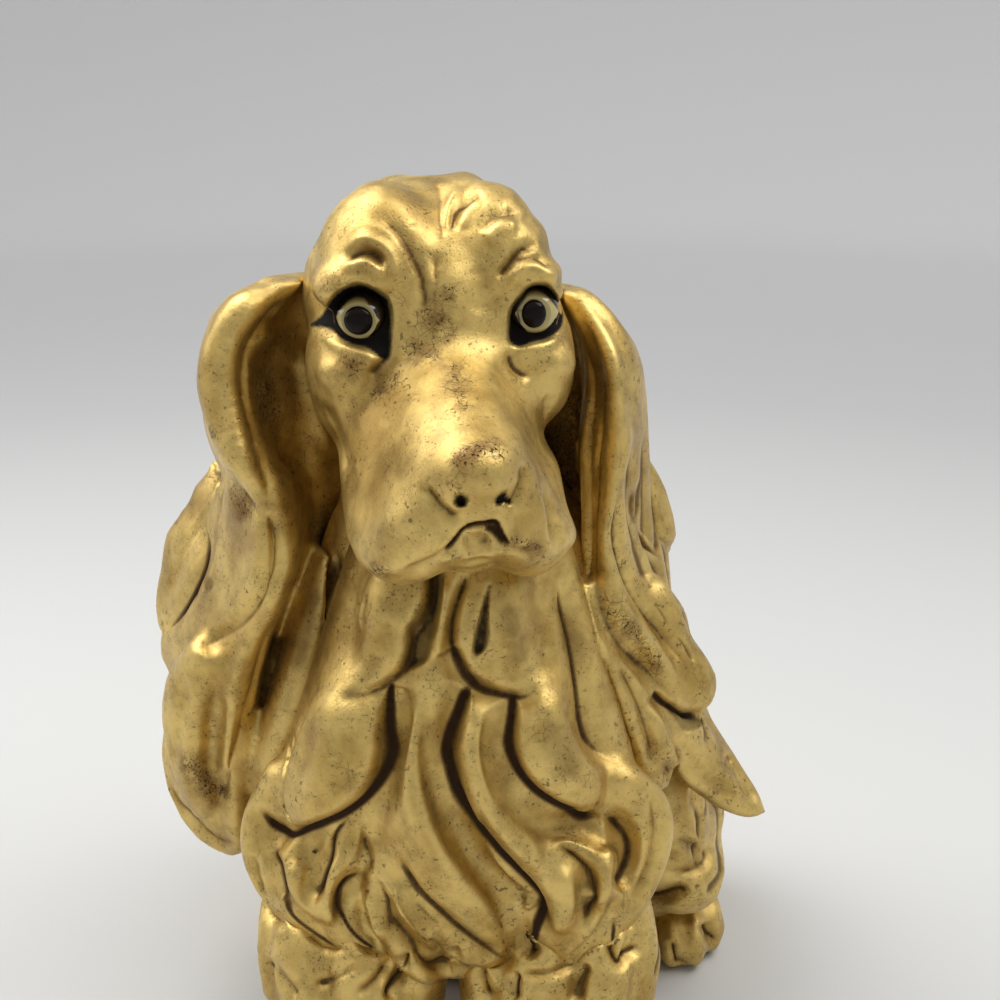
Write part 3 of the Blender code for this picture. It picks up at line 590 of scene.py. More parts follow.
    def settle(self) -> None:
        """Softens tool marks, then stores points, patina with painted shade, black painted places, crevices
        and rubbed edges.
        """
        self.points = self.relax(self.points, 1, 0.35)
        normals = self.normals(1)
        fine, broad = (
            ((self.relax(self.points, rounds) - self.points) * normals).sum(axis=1) / MM
            for rounds in (self.fine_rounds, self.broad_rounds)
        )
        # Fine crevices take patina; broad ones are darkened as patina and as painted shade
        crevice = self.fine_weight * np.clip(fine / self.fine_hollow, 0, 1)
        crevice += self.broad_weight * np.clip(broad / self.broad_hollow, 0, 1)
        edge = np.clip(-fine / self.rubbed_rise, 0, 1)
        stored = {
            "dark": self.relax(self.dark, 1, 0.3),
            "paint_and_shade": self.paint_and_shade,
            "worn": self.worn,
            "crevice": np.clip(self.relax(crevice, 2), 0, 1),
            "edge": self.relax(edge, 2),
        }
        for name, values in stored.items():
            attribute = self.mesh.attributes.new(name, "FLOAT", "POINT")
            attribute.data.foreach_set("value", values.astype(np.float32))
        self.write()


def within(place: np.ndarray, outline: np.ndarray) -> np.ndarray:
    """Tells which places lie inside a closed outline.

    Args:
        place: Rows of x and y.
        outline: Points round the outline.

    Returns:
        True for each place inside.
    """
    inside = np.zeros(len(place), dtype=bool)
    x, y = place.T
    for (x0, y0), (x1, y1) in zip(outline, np.roll(outline, -1, axis=0)):
        crosses = (y0 > y) != (y1 > y)
        if y1 != y0:
            inside ^= crosses & (x < (x1 - x0) * (y - y0) / (y1 - y0) + x0)
    return inside


# Finishes


def hex_colour(code: str) -> tuple[float, float, float, float]:
    """Turns an sRGB hex code into a linear colour."""
    channels = [int(code[i : i + 2], 16) / 255 for i in (1, 3, 5)]
    linear = [c / 12.92 if c <= 0.04045 else ((c + 0.055) / 1.055) ** 2.4 for c in channels]
    return (*linear, 1.0)


def plug(tree: bpy.types.NodeTree, node: bpy.types.Node, links: dict) -> None:
    """Links or sets the inputs of a node.

    Args:
        tree: The node tree.
        node: The node.
        links: Sockets or values by input name or number.
    """
    for key, value in links.items():
        if isinstance(value, bpy.types.NodeSocket):
            tree.links.new(value, node.inputs[key])
        else:
            node.inputs[key].default_value = value


def add_node(
    tree: bpy.types.NodeTree, kind: str, settings: dict | None = None, links: dict | None = None
) -> bpy.types.Node:
    """Adds a node with its settings and links.

    Args:
        tree: The node tree.
        kind: Type name of the node.
        settings: Attributes of the node.
        links: Sockets or values by input name or number.

    Returns:
        The node.
    """
    made = tree.nodes.new(kind)
    for key, value in (settings or {}).items():
        setattr(made, key, value)
    plug(tree, made, links or {})
    return made


def new_material(name: str) -> tuple[bpy.types.Material, bpy.types.NodeTree, bpy.types.Node]:
    """Starts a material with a Principled shader.

    Args:
        name: Name of the material.

    Returns:
        The material, its node tree and its shader.
    """
    made = bpy.data.materials.new(name)
    made.use_nodes = True
    return made, made.node_tree, made.node_tree.nodes["Principled BSDF"]


def per_metre(size: float) -> float:
    """Gives the scale of a pattern whose features are so many millimetres wide."""
    return 1 / (size * MM)


@dataclass(frozen=True)
class Pattern:
    """A soft pattern: its size in millimetres, its layers of detail and how rough they are."""

    size: float
    detail: float = 3.0
    rough: float = 0.55


@dataclass(frozen=True)
class Grade:
    """Maps one range of a field onto another, smoothly and held at its ends."""

    source: str
    low: float
    high: float
    to_low: float = 0.0
    to_high: float = 1.0

    def node(self, fields: dict) -> tuple[str, dict, dict]:
        """Gives the kind, the settings and the links of its node."""
        ends = {"From Min": self.low, "From Max": self.high, "To Min": self.to_low, "To Max": self.to_high}
        links = {"Value": fields[self.source], **ends}
        return "ShaderNodeMapRange", {"interpolation_type": "SMOOTHSTEP"}, links


@dataclass(frozen=True)
class Sum:
    """Joins a field with another or with a number, and holds the result between 0 and 1."""

    operation: str
    source: str
    other: str | float

    def node(self, fields: dict) -> tuple[str, dict, dict]:
        """Gives the kind, the settings and the links of its node."""
        settings = {"operation": self.operation, "use_clamp": True}
        return "ShaderNodeMath", settings, {0: fields[self.source], 1: fields.get(self.other, self.other)}


LEAF_PATTERNS = {
    "tone cloud": Pattern(22.0, 5.0, 0.62),
    "break cloud": Pattern(9.0, 6.0, 0.68),
    "pit cloud": Pattern(1.9, 2.0, 0.5),
    "pit patches": Pattern(14.0),
    "fleck cloud": Pattern(0.95, 2.0, 0.6),
    "speck cloud": Pattern(0.95, 1.0, 0.5),
    "speck patches": Pattern(9.0),
    "crack patches": Pattern(10.0),
    "satin cloud": Pattern(6.0, 4.0),
    "grain": Pattern(0.8, 4.0, 0.65),
}

# Fields of the gold leaf, each worked out from patterns, from marks on the skin or from fields above it
LEAF_FIELDS = {
    "tone": Grade("tone cloud", 0.36, 0.64),
    "rubbed edge": Sum("MULTIPLY", "edge", 0.75),
    "toned": Grade("break cloud", 0.42, 0.68),
    "toned patches": Sum("MULTIPLY", "toned", 0.35),
    # Hollows: waxed patina, and in the broad ones painted shade as well
    "deep": Grade("crevice", 0.10, 0.85),
    "deep breaks": Grade("break cloud", 0.25, 0.6, 0.55, 1.0),
    "hollow": Sum("MULTIPLY", "deep", "deep breaks"),
    # Stroke marks: patina in cuts, painted shade on the shade strokes and painted shadow lines at seams
    "cut": Grade("dark", 0.08, 0.95),
    "cut breaks": Grade("break cloud", 0.2, 0.55, 0.8, 1.0),
    "tooled and shaded": Sum("MULTIPLY", "cut", "cut breaks"),
    "bare": Grade("break cloud", 0.36, 0.58),
    "worn bare": Sum("MULTIPLY", "worn", "bare"),
    "pit": Grade("pit cloud", 0.62, 0.67),
    "pit patch": Grade("pit patches", 0.45, 0.65, 0.0, 0.6),
    "pits": Sum("MULTIPLY", "pit", "pit patch"),
    "fleck": Grade("fleck cloud", 0.56, 0.64),
    "rubbed": Grade("worn", 0.1, 0.6),
    "rubbed flecks": Sum("MULTIPLY", "fleck", "rubbed"),
    "speck": Grade("speck cloud", 0.64, 0.70),
    "speck patch": Grade("speck patches", 0.42, 0.62, 0.1, 0.65),
    "loose specks": Sum("MULTIPLY", "speck", "speck patch"),
    "specks": Sum("MAXIMUM", "loose specks", "rubbed flecks"),
    "flaws": Sum("MAXIMUM", "pits", "specks"),
    "crack": Grade("cell edge", 0.06, 0.015),
    "crack patch": Grade("crack patches", 0.54, 0.68, 0.0, 0.5),
    "crack places": Sum("ADD", "crack patch", "worn"),
    "cracks": Sum("MULTIPLY", "crack", "crack places"),
    "dark cracks": Sum("MULTIPLY", "cracks", 0.8),
    "hollow stain and painted shade": Sum("MULTIPLY", "hollow", 0.6),
    "hollow wax and painted shade": Grade("hollow", 0.45, 1.0, 0.0, 0.85),
    "tooled stain and painted shade": Grade("tooled and shaded", 0.0, 0.5, 0.0, 0.8),
    "tooled wax and painted shadow": Grade("tooled and shaded", 0.25, 0.9),
    "waxed cuts and painted shadow": Grade("tooled and shaded", 0.2, 0.9),
    "dark cuts and painted shade": Sum("MAXIMUM", "waxed cuts and painted shadow", "paint_and_shade"),
    "waxed hollows": Grade("hollow", 0.4, 1.0, 0.0, 0.8),
    "dark hollows": Sum("MAXIMUM", "dark cuts and painted shade", "waxed hollows"),
    "bare ground": Sum("MULTIPLY", "worn bare", 0.7),
    "covered": Sum("MAXIMUM", "dark hollows", "bare ground"),
    "metal": Grade("covered", 0.0, 1.0, 0.9, 0.0),
    "satin": Grade("satin cloud", 0.3, 0.7, 0.40, 0.50),
    "dull": Sum("MULTIPLY", "covered", 0.35),
    "roughness": Sum("ADD", "satin", "dull"),
    "varnish": Grade("covered", 0.0, 0.8, 0.3, 0.0),
    "sunk cracks": Sum("MULTIPLY", "cracks", 0.5),
    "cracked grain": Sum("SUBTRACT", "grain", "sunk cracks"),
    "sunk flaws": Sum("MULTIPLY", "flaws", 0.4),
    "relief": Sum("SUBTRACT", "cracked grain", "sunk flaws"),
}


@dataclass(frozen=True)
class GoldLeaf:
    """Satin metal leaf over a red-brown ground, toned with dark waxed patina that stays in the hollows.

    The eye sees a soft olive gold that brightens on rubbed edges, brown to black in the grooves, fine
    pits and crackle where the leaf tore over the ground, and broad soft highlights.  The broad hollows,
    gaps, seams and places turned from the light are darkened further with brown and black as painted
    shade.  The finest specks are drawn as coarse as they need to be to show.  Sizes are in millimetres.
    """

    bright: str = "#E0C274"
    deep: str = "#B99850"
    # Brown for stained patches, and painted shade in broad hollows and shaded places
    stain_and_shade: str = "#755726"
    # Near black for cracks, flaws and cuts, and painted shadow in gaps and along seams
    wax_and_shadow: str = "#33210F"
    ground: str = "#6A4522"
    black: str = "#0B0705"
    crackle_size: float = 3.4
    crackle_warp: Pattern = Pattern(3.0)
    crackle_stray: float = 2.6
    relief: float = 0.3
    relief_strength: float = 0.5
    gleam: float = 0.15
    varnish_rough: float = 0.32

    def sources(self, tree: bpy.types.NodeTree) -> dict[str, bpy.types.NodeSocket]:
        """Adds the marks that carving left on the skin, and the patterns.

        Args:
            tree: The material's node tree.

        Returns:
            Their sockets by name.
        """
        place = add_node(tree, "ShaderNodeTexCoord").outputs["Object"]
        found = {}
        for mark in ("dark", "paint_and_shade", "crevice", "edge", "worn"):
            found[mark] = add_node(tree, "ShaderNodeAttribute", {"attribute_name": mark}).outputs["Fac"]
        for name, pattern in {**LEAF_PATTERNS, "warp": self.crackle_warp}.items():
            look = {"Scale": per_metre(pattern.size), "Detail": pattern.detail, "Roughness": pattern.rough}
            noise = add_node(tree, "ShaderNodeTexNoise", None, {"Vector": place, **look})
            found[name] = noise.outputs["Color" if name == "warp" else "Fac"]
        stray = {0: found["warp"], "Scale": self.crackle_stray * MM}
        warp = add_node(tree, "ShaderNodeVectorMath", {"operation": "SCALE"}, stray)
        bent = add_node(tree, "ShaderNodeVectorMath", {"operation": "ADD"}, {0: place, 1: warp.outputs[0]})
        cells = {"Vector": bent.outputs[0], "Scale": per_metre(self.crackle_size)}
        crackle = add_node(tree, "ShaderNodeTexVoronoi", {"feature": "DISTANCE_TO_EDGE"}, cells)
        found["cell edge"] = crackle.outputs["Distance"]
        return found

    def make(self) -> bpy.types.Material:
        """Builds the material."""
        made, tree, shader = new_material("gold_leaf_over_bole")
        fields = self.sources(tree)
        for name, step in LEAF_FIELDS.items():
            fields[name] = add_node(tree, *step.node(fields)).outputs[0]
        layers = (
            ("tone", self.bright),
            ("rubbed edge", self.bright),
            ("toned patches", self.stain_and_shade),
            ("worn bare", self.ground),
            ("dark cracks", self.wax_and_shadow),
            # Brown and black in hollows and stroke marks: patina, and painted shade where shadow falls
            ("hollow stain and painted shade", self.stain_and_shade),
            ("hollow wax and painted shade", self.wax_and_shadow),
            ("flaws", self.wax_and_shadow),
            ("tooled stain and painted shade", self.stain_and_shade),
            ("tooled wax and painted shadow", self.wax_and_shadow),
            # Black painted eye sockets, and painted shade in gaps and under the ear's notch
            ("paint_and_shade", self.black),
        )
        colour = hex_colour(self.deep)
        for name, code in layers:
            links = {0: fields[name], 6: colour, 7: hex_colour(code)}
            colour = add_node(tree, "ShaderNodeMix", {"data_type": "RGBA"}, links).outputs[2]
        grain = {"Height": fields["relief"], "Strength": self.relief_strength, "Distance": self.relief * MM}
        inputs = {
            "Base Color": colour,
            "Metallic": fields["metal"],
            "Roughness": fields["roughness"],
            "Specular IOR Level": self.gleam,
            "Coat Weight": fields["varnish"],
            "Coat Roughness": self.varnish_rough,
            "Normal": add_node(tree, "ShaderNodeBump", None, grain).outputs[0],
        }
        plug(tree, shader, inputs)
        return made


@dataclass(frozen=True)
class CreamGlass:
    """Opaque cream glass ball with a painted brown ring: glossy, a little yellowed, and dimmed as painted
    shade from the brow.
    """

    # A dim cream, darkened as painted shade from the brow and lids
    cream: str = "#B3A468"
    ring: str = "#160D06"
    rough: float = 0.12
    glaze: float = 0.5

    def make(self) -> bpy.types.Material:
        """Builds the material."""
        made, tree, shader = new_material("cream_eye_glass")
        angle = add_node(tree, "ShaderNodeAttribute", {"attribute_name": "ring"}).outputs["Fac"]
        ramp = add_node(tree, "ShaderNodeValToRGB", None, {0: angle})
        stops = (
            (0.0, self.ring),
            (0.30, self.ring),
            (0.38, self.cream),
            (0.80, self.cream),
            (0.93, self.ring),
        )
        elements = ramp.color_ramp.elements
        elements[0].position, elements[0].color = stops[0][0], hex_colour(stops[0][1])
        elements[1].position, elements[1].color = stops[-1][0], hex_colour(stops[-1][1])
        for spot, code in stops[1:-1]:
            elements.new(spot).color = hex_colour(code)
        inputs = {"Base Color": ramp.outputs[0], "Roughness": self.rough, "Coat Weight": self.glaze}
        plug(tree, shader, inputs)
        return made


@dataclass(frozen=True)
class BlackGlass:
    """Polished black glass: near black, with sharp small reflections and brown clouds of a size in mm."""

    black: str = "#0A0908"
    brown: str = "#1C120C"
    cloud: float = 3.0
    rough: float = 0.1
    gleam: float = 0.14

    def make(self) -> bpy.types.Material:
        """Builds the material."""
        made, tree, shader = new_material("black_eye_glass")
        place = add_node(tree, "ShaderNodeTexCoord").outputs["Object"]
        links = {"Vector": place, "Scale": per_metre(self.cloud)}
        cloud = add_node(tree, "ShaderNodeTexNoise", None, links)
        ramp = add_node(tree, "ShaderNodeValToRGB", None, {0: cloud.outputs["Fac"]})
        ramp.color_ramp.elements[0].color = hex_colour(self.black)
        ramp.color_ramp.elements[1].color = hex_colour(self.brown)
        inputs = {"Base Color": ramp.outputs[0], "Roughness": self.rough, "Specular IOR Level": self.gleam}
        plug(tree, shader, inputs)
        return made


@dataclass(frozen=True)
class WoolFelt:
    """Pressed wool felt: dull brown with matted fibres, of a width and a relief in millimetres."""

    light: str = "#4A3527"
    dark: str = "#2B1D15"
    fibre: float = 0.9
    layers: float = 6.0
    matting: float = 1.5
    relief: float = 0.3
    relief_strength: float = 0.6
    rough: float = 0.95
    sheen: float = 0.4

    def make(self) -> bpy.types.Material:
        """Builds the material."""
        made, tree, shader = new_material("pressed_wool_felt")
        place = add_node(tree, "ShaderNodeTexCoord").outputs["Object"]
        look = {"Scale": per_metre(self.fibre), "Detail": self.layers, "Distortion": self.matting}
        mat = add_node(tree, "ShaderNodeTexNoise", None, {"Vector": place, **look})
        ramp = add_node(tree, "ShaderNodeValToRGB", None, {0: mat.outputs["Fac"]})
        ramp.color_ramp.elements[0].color = hex_colour(self.dark)
        ramp.color_ramp.elements[1].color = hex_colour(self.light)
        nap = {
            "Height": mat.outputs["Fac"],
            "Strength": self.relief_strength,
            "Distance": self.relief * MM,
        }
        inputs = {
            "Base Color": ramp.outputs[0],
            "Roughness": self.rough,
            "Sheen Weight": self.sheen,
            "Normal": add_node(tree, "ShaderNodeBump", None, nap).outputs[0],
        }
        plug(tree, shader, inputs)
        return made


@dataclass(frozen=True)
class MattPaper:
    """Matt grey paper under the figure: no gloss, and paler towards the rim of the tray, as painted light
    that offsets the lamps' stronger light near the middle.

    Reaches are in metres from the middle of the tray.
    """

    near: str = "#CBCBC9"
    middle: str = "#CFCFCF"
    far: str = "#F2F2F2"
    near_reach: float = 0.3
    far_reach: float = 2.0
    middle_share: float = 0.35
    rough: float = 0.9
    gleam: float = 0.1

    def make(self) -> bpy.types.Material:
        """Builds the material."""
        made, tree, shader = new_material("pale_paper_tray")
        place = add_node(tree, "ShaderNodeTexCoord").outputs["Object"]
        away = add_node(tree, "ShaderNodeVectorMath", {"operation": "LENGTH"}, {0: place})
        ends = {"From Min": self.near_reach, "From Max": self.far_reach}
        rise = add_node(tree, "ShaderNodeMapRange", None, {"Value": away.outputs["Value"], **ends})
        ramp = add_node(tree, "ShaderNodeValToRGB", None, {0: rise.outputs[0]})
        ramp.color_ramp.elements[0].color = hex_colour(self.near)
        ramp.color_ramp.elements[1].color = hex_colour(self.far)
        ramp.color_ramp.elements.new(self.middle_share).color = hex_colour(self.middle)
        inputs = {"Base Color": ramp.outputs[0], "Roughness": self.rough, "Specular IOR Level": self.gleam}
        plug(tree, shader, inputs)
        return made


# Modelling helpers


def select_only(piece: bpy.types.Object) -> None:
    """Selects one object and nothing else."""
    bpy.ops.object.select_all(action="DESELECT")
    piece.select_set(True)
    bpy.context.view_layer.objects.active = piece


def apply_modifier(piece: bpy.types.Object, kind: str, **settings) -> None:
    """Adds a modifier with its settings and applies it.

    Args:
        piece: The object.
        kind: Type of the modifier.
        settings: Attributes of the modifier.
    """
    select_only(piece)
    made = piece.modifiers.new(kind.lower(), kind)
    for key, value in settings.items():
        setattr(made, key, value)
    bpy.ops.object.modifier_apply(modifier=made.name)


def copy_nodes(name: str, nodes: tuple[str, ...]) -> bpy.types.Object:
    """Copies CAD nodes into one new object with its vertices merged.

    Args:
        name: Name of the new object.
        nodes: Names of the CAD nodes.

    Returns:
        The new object, at the origin.
    """
    copies = []
    for node in nodes:
        made = bpy.data.objects.new(name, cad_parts[node].data.copy())
        bpy.context.scene.collection.objects.link(made)
        made.data.materials.clear()
        copies.append(made)
    select_only(copies[0])
    for extra in copies[1:]:
        extra.select_set(True)
    if len(copies) > 1:
        bpy.ops.object.join()
    bpy.ops.object.mode_set(mode="EDIT")
    bpy.ops.mesh.select_all(action="SELECT")
    bpy.ops.mesh.remove_doubles(threshold=0.002 * MM)
    bpy.ops.object.mode_set(mode="OBJECT")
    return copies[0]


def hand_over(piece: bpy.types.Object, finish: bpy.types.Material, slot: str, *nodes: str) -> None:
    """Gives a piece its finish and its place in the frame.

    Args:
        piece: The finished object.
        finish: Its material.
        slot: The record's material slot; not used.
        nodes: The CAD nodes that it stands for.
    """
    piece.data.materials.clear()
    piece.data.materials.append(finish)
    piece.data.shade_smooth()
    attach(piece, "root")
    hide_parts(*nodes)
    LOG.info("%s: %d faces", piece.name, len(piece.data.polygons))


# Strokes on the figure, as seen through the lens, with left and right as in the picture
# Side -1 is the dog's right, on the left of the picture, and side 1 is its left

FACE_SOFT = "400,312 440,330 500,312 528,420 540,490 520,514 470,518 425,510 386,495 378,440 396,380"

FACE_STROKES = {
    "skull furrow": part("434,174 440,196 441,222 443,244", 16, 1.6, 0.1),
    "oblique wrinkle": part("481,190 466,202 456,210 452,222 449,234", 12, 2.4, 0.6),
    "ridge left of the wrinkle": welt("465,186 452,199 447,215 446,232", 5, 1.0),
    "ridge right of the wrinkle": welt("481,198 468,212 459,232", 6, 1.0),
    "right temple wrinkle": part("523,211 503,214 490,218 479,233", 14, 2.0, 0.5),
    "right brow mass": welt("486,244 500,229 519,224", 11, 1.4),
    "right brow crease": part("540,244 525,248 516,256 509,265 502,274 497,283", 14, 2.8, 0.8),
    "right brow fork": part("511,263 525,258 538,259 551,270", 9, 1.4, 0.65),
    "right lid fold": welt("500,285 512,275 525,268 538,268 550,276 560,288", 6, 1.3),
    "left brow crease": part("343,262 352,256 362,252 372,253 380,259 389,269", 14, 2.6, 0.75),
    "left brow crescent": welt("348,247 362,239 375,242 387,252 394,266 396,282", 6, 1.4),
    "left lid fold": welt("341,273 353,264 365,262 376,268 386,279", 7, 1.6),
    "left fold edge": lap(
        "366,217 380,219 392,225 400,233 408,245 415,258 420,272 423,288 424,304 418,328", 16, 2.4, 0.6
    ),
    "forehead nick": groove("397,225 408,226 421,226", 2.0, 0.6, 0.4),
    "nose root ridge": welt("424,250 428,285 427,314", 4, 0.8),
    "nose root groove": part("434,250 436,285 430,320", 12, 1.2, 0.45),
    "right root groove": dish("478,262 480,290 478,318", 10, 0.8),
    "left lower lid": welt("320,334 340,347 362,355 380,365", 5, 1.1),
    "left eye bag": dish("318,350 340,362 364,371 384,381", 9, 0.8),
    "left tear mark": part("388,354 380,366 370,377", 9, 1.8, 0.8),
    "right lower lid": welt("513,351 530,349 547,345 561,336", 4.5, 1.2),
    "right tear mark": part("509,349 513,360 520,370 532,380", 10, 2.2, 0.8),
    "left bridge shoulder": welt("418,372 408,410 402,450 400,484", 24, 1.0, fade=(0.4, 0.3)),
    "right bridge valley": dish("496,352 506,372 516,392 527,412 539,436", 12, 1.2),
    "left cheek fold": dish("318,396 330,430 341,457 353,478", 9, 1.6),
    "right cheek corner": part("548,392 545,420 536,438", 10, 1.6, 0.2),
    "nose ball": welt("464,476 488,474", 28, 4.5, fade=(0, 0)),
    "left nose wing": part("421,480 430,492 441,505 452,514 463,520", 12, 2.6, 0.6),
    "right nose wing": part("520,462 521,480 514,496 508,508", 12, 2.4, 0.35),
    "left nostril flare": welt("440,496 449,504 460,511", 5, 0.8),
    "right flew edge": lap("535,430 544,470 549,492 553,514 555,536 555,556", 16, 3.0, 0.25),
    "left lip bulge": welt("352,559 372,569 396,567 420,559", 8, 1.0),
    "right lip line": part("508,547 522,551 537,554", 8, 1.4, 0.4),
    "left brow stain": dish("346,256 366,250 388,264", 15, 0.0, 0.4),
    "right brow stain": dish("508,262 524,252 544,250", 15, 0.0, 0.4),
    "stop stain": dish("414,262 428,300 436,340", 17, 0.0, 0.38),
    "tear stain": dish("368,380 388,368 402,352", 14, 0.0, 0.4),
    "temple stain": dish("496,222 516,214 532,220", 13, 0.0, 0.36),
    # Painted shade on the bridge, over its stains, and on the muzzle's left side
    "painted shade and stains on the bridge": dish("450,362 442,396 438,428 446,458", 23, 0.0, 0.36),
    "painted shade on the muzzle": dish("392,440 380,480 382,520 398,548", 26, 0.0, 0.3),
    "stop rub": rub("424,298 438,322 452,350", 16, 0.6),
    "stop spots": rub("446,282 452,304", 9, 0.7),
    "left stop rub": rub("392,352 420,350 446,360", 12, 0.55),
    "bridge rub": rub("452,352 458,388 468,420", 10, 0.5),
    "nose top rub": rub("450,466 468,457 488,452 506,462", 11, 0.7),
    "nose front rub": rub("450,484 466,478", 9, 0.7),
    "left cheek rub": rub("332,354 350,364 368,376", 14, 0.5),
    "left muzzle rub": rub("362,404 386,386 404,372", 14, 0.45),
    "left lip rub": rub("350,566 372,571 398,569", 8, 0.7),
    "right lip rub": rub("508,540 524,544 545,552", 7, 0.6),
    "left temple rub": rub("318,296 330,282 350,270", 10, 0.4),
    "fold rub": rub("400,236 410,252 418,276", 6, 0.5),
}

MOUTH_STROKES = {
    "arch": groove(
        "440,556 452,547 459,538 465,531 474,526 485,525 496,524 501,533 506,543 514,550",
        3.6,
        2.8,
        0.95,
        fade=(0.12, 0.1),
    ),
    "left flew edge": lap(
        "470,527 464,532 456,541 447,551 434,560 418,567 400,573", 14, 2.2, 0.25, fade=(0.1, 0.2)
    ),
    "thick arm of the arch": groove("482,529 493,531 501,539 507,547", 6.0, 1.8, 0.95),
    "inside the arch": dish("462,546 478,540 494,543", 9, 1.6, 0.3),
    "lower lip": welt("436,565 450,558 468,553 488,551 508,553", 4.5, 1.8),
    "under the lip": part("440,566 454,572 468,574 484,570 502,561", 9, 1.5, 0.3),
}

FACE_RECESSES = {
    "left nostril": Recess(
        "454,501 456,496 461,494 466,496 468,501 465,506 460,507 456,505", 3.0, 1.0, 1.8
    ),
    "right nostril": Recess(
        "494,501 497,496 502,492 506,492 507,496 511,500 508,505 503,503 498,506", 2.6, 1.0, 1.8
    ),
}

SKULL_PULLS = {
    "right crown": Pull((540, 208), (-9, 9), 28),
    "right temple": Pull((567, 246), (-12, 4), 26),
    "right brow end": Pull((574, 282), (-14, 0), 18),
    "right lobe": Pull((470, 180), (0, -8), 24),
    "left lobe": Pull((380, 184), (0, -7), 32),
    "right cheek corner": Pull((557, 434), (-12, 0), 22),
    "right flew": Pull((568, 530), (6, 2), 18),
}

EYE_OUTLINES = {
    -1: "303,327 320,316 327,305 335,295 343,289 352,285 362,284 372,288 382,294 388,299 391,310"
    " 392,325 392,345 390,358 382,360 373,353 364,348 352,345 341,339 332,331 320,328",
    1: "509,342 508,325 510,312 515,303 521,296 527,288 536,284 546,285 554,291 560,300 564,312"
    " 563,325 556,334 545,340 533,343 520,347",
}

EAR_STROKES = {
    -1: {
        "roll": welt("288,290 262,299 239,320 224,350 220,385 229,421 246,461 266,502", 17, 6.5),
        "roll's inner edge": lap(
            "293,300 276,309 259,326 246,347 241,372 242,398 249,426 261,466 273,504", 20, 4.5, 0.2
        ),
        # Painted shade in the canal
        "canal": dish("284,333 270,362 270,396 282,430 300,462 316,484", 17, 4.5, 0.12),
        "ridge by the cheek": welt("302,345 308,380 318,420 332,455", 7, 1.8),
        "roll over the second lobe": lap("264,524 243,500 226,472 212,444 202,416", 20, 3.5, 0.4),
        "second lobe edge": lap(
            "270,510 272,540 267,572 258,596 236,624 212,642 188,655", 26, 5.0, 0.4, fade=(0.1, 0.4)
        ),
        "rear leaf gap": part("206,514 203,545 196,574 178,610 158,640", 14, 4.0, 0.9),
        "third tier edge": lap("272,618 258,678 246,715 236,750 222,790 214,828", 20, 2.4, 0.3),
        # Painted shade on the inner flange, in the shadow of the ear
        "inner flange shade": dish("326,548 314,600 300,660 284,720", 17, 0.4, 0.42, fade=(0.3, 0.4)),
        "outer furrow": dish("180,674 182,700 177,735 170,772", 10, 1.6),
        "middle furrow": dish("216,686 217,720 212,750 204,792", 10, 1.8),
        "bottom rim": part("165,775 174,800 190,816 206,833 222,843 242,844", 12, 2.0, 0.5),
        "lobe rub": rub("218,462 234,498 246,528", 9, 0.8),
        "tier rub": rub("176,750 200,775 230,810", 13, 0.6),
        "roll rub": rub("222,424 232,436", 8, 0.6),
        "canal rub": rub("276,360 276,400 286,430", 12, 0.6),
    },
    1: {
        "roll": welt(
            "575,293 595,325 608,357 611,398 616,444 610,479 603,531 606,574 619,612 647,647 676,676"
            " 700,698",
            12,
            4.5,
        ),
        "roll's inner edge": lap(
            "704,708 679,702 647,667 615,630 600,589 595,545 597,490 598,450 605,400 602,366 589,328"
            " 573,302",
            22,
            5.0,
            0.4,
        ),
        # Painted shade on the ear's inner side
        "inner shade": dish("580,340 584,380 580,430 576,480 576,540 584,590", 18, 2.5, 0.3),
        "outer furrow": part("622,500 615,524 617,550 629,580 648,612 668,642 690,672", 16, 2.6, 0.2),
        "upper nick": groove("650,602 660,610 670,628", 2.2, 0.9, 0.5),
        "lower nick": groove("675,634 685,645 695,664", 2.2, 0.9, 0.5),
        "rear lobe edge": part("642,476 638,500 640,520 648,538 660,554 670,564", 14, 3.5, 0.7),
        "notch": lap("708,717 690,715 676,709 664,701 654,686", 20, 4.5, 0.95),
        "third tier furrow": dish("672,736 688,758 712,780 742,800", 8, 1.5),
        "third tier ridge": welt("652,694 657,722 666,748 684,776 704,800", 8, 1.8),
        "third tier edge": part("662,756 676,780 690,795 704,809", 12, 2.5, 0.6),
        "tip furrow": dish("722,756 742,776 756,806", 7, 1.4),
        "inner lock": part("616,656 630,680 642,705 648,725 653,745 657,770", 14, 3.0, 0.5),
        "inner lock beside": part("602,652 612,690 620,720 628,745 642,778", 14, 3.0, 0.5),
        "edge by the chest": part("586,700 592,730 600,748 612,760 625,770 654,784", 16, 3.5, 0.8),
        "inner rub": rub("566,380 572,420 562,462 574,500", 14, 0.8),
        "edge rub": rub("600,590 618,622 646,652 668,684", 6, 0.5),
    },
}

EAR_RECESSES = {
    -1: {
        "flaw in the leaf": Recess("203,583 206,576 211,577 214,583 211,591 206,592", 0.4, 0.5, 2.5),
    },
    # Painted shade under the overhanging notch
    1: {"under the notch": Recess("664,703 678,712 704,719 700,728 684,732 676,722", 1.2, 0.6)},
}

EAR_PULLS = {
    -1: {
        "leaf's low end": Pull((160, 636), (-10, 12), 26),
        "leaf's top": Pull((202, 466), (13, 9), 22),
        "leaf's shoulder": Pull((168, 498), (15, 10), 38),
        "leaf's side": Pull((150, 560), (7, 4), 26),
    },
    1: {
        "rear lobe": Pull((668, 505), (0, 22), 30),
        "back edge": Pull((706, 642), (-10, 0), 26),
    },
}

MANE_SOFT = (
    "330,575 560,575 600,690 640,790 640,880 600,950 520,962 440,962 380,952 300,932 262,870"
    " 258,800 280,700"
)

MANE_LUMPS = (
    "318,640 378,640 384,705 318,705",
    "512,645 575,645 578,705 512,705",
)

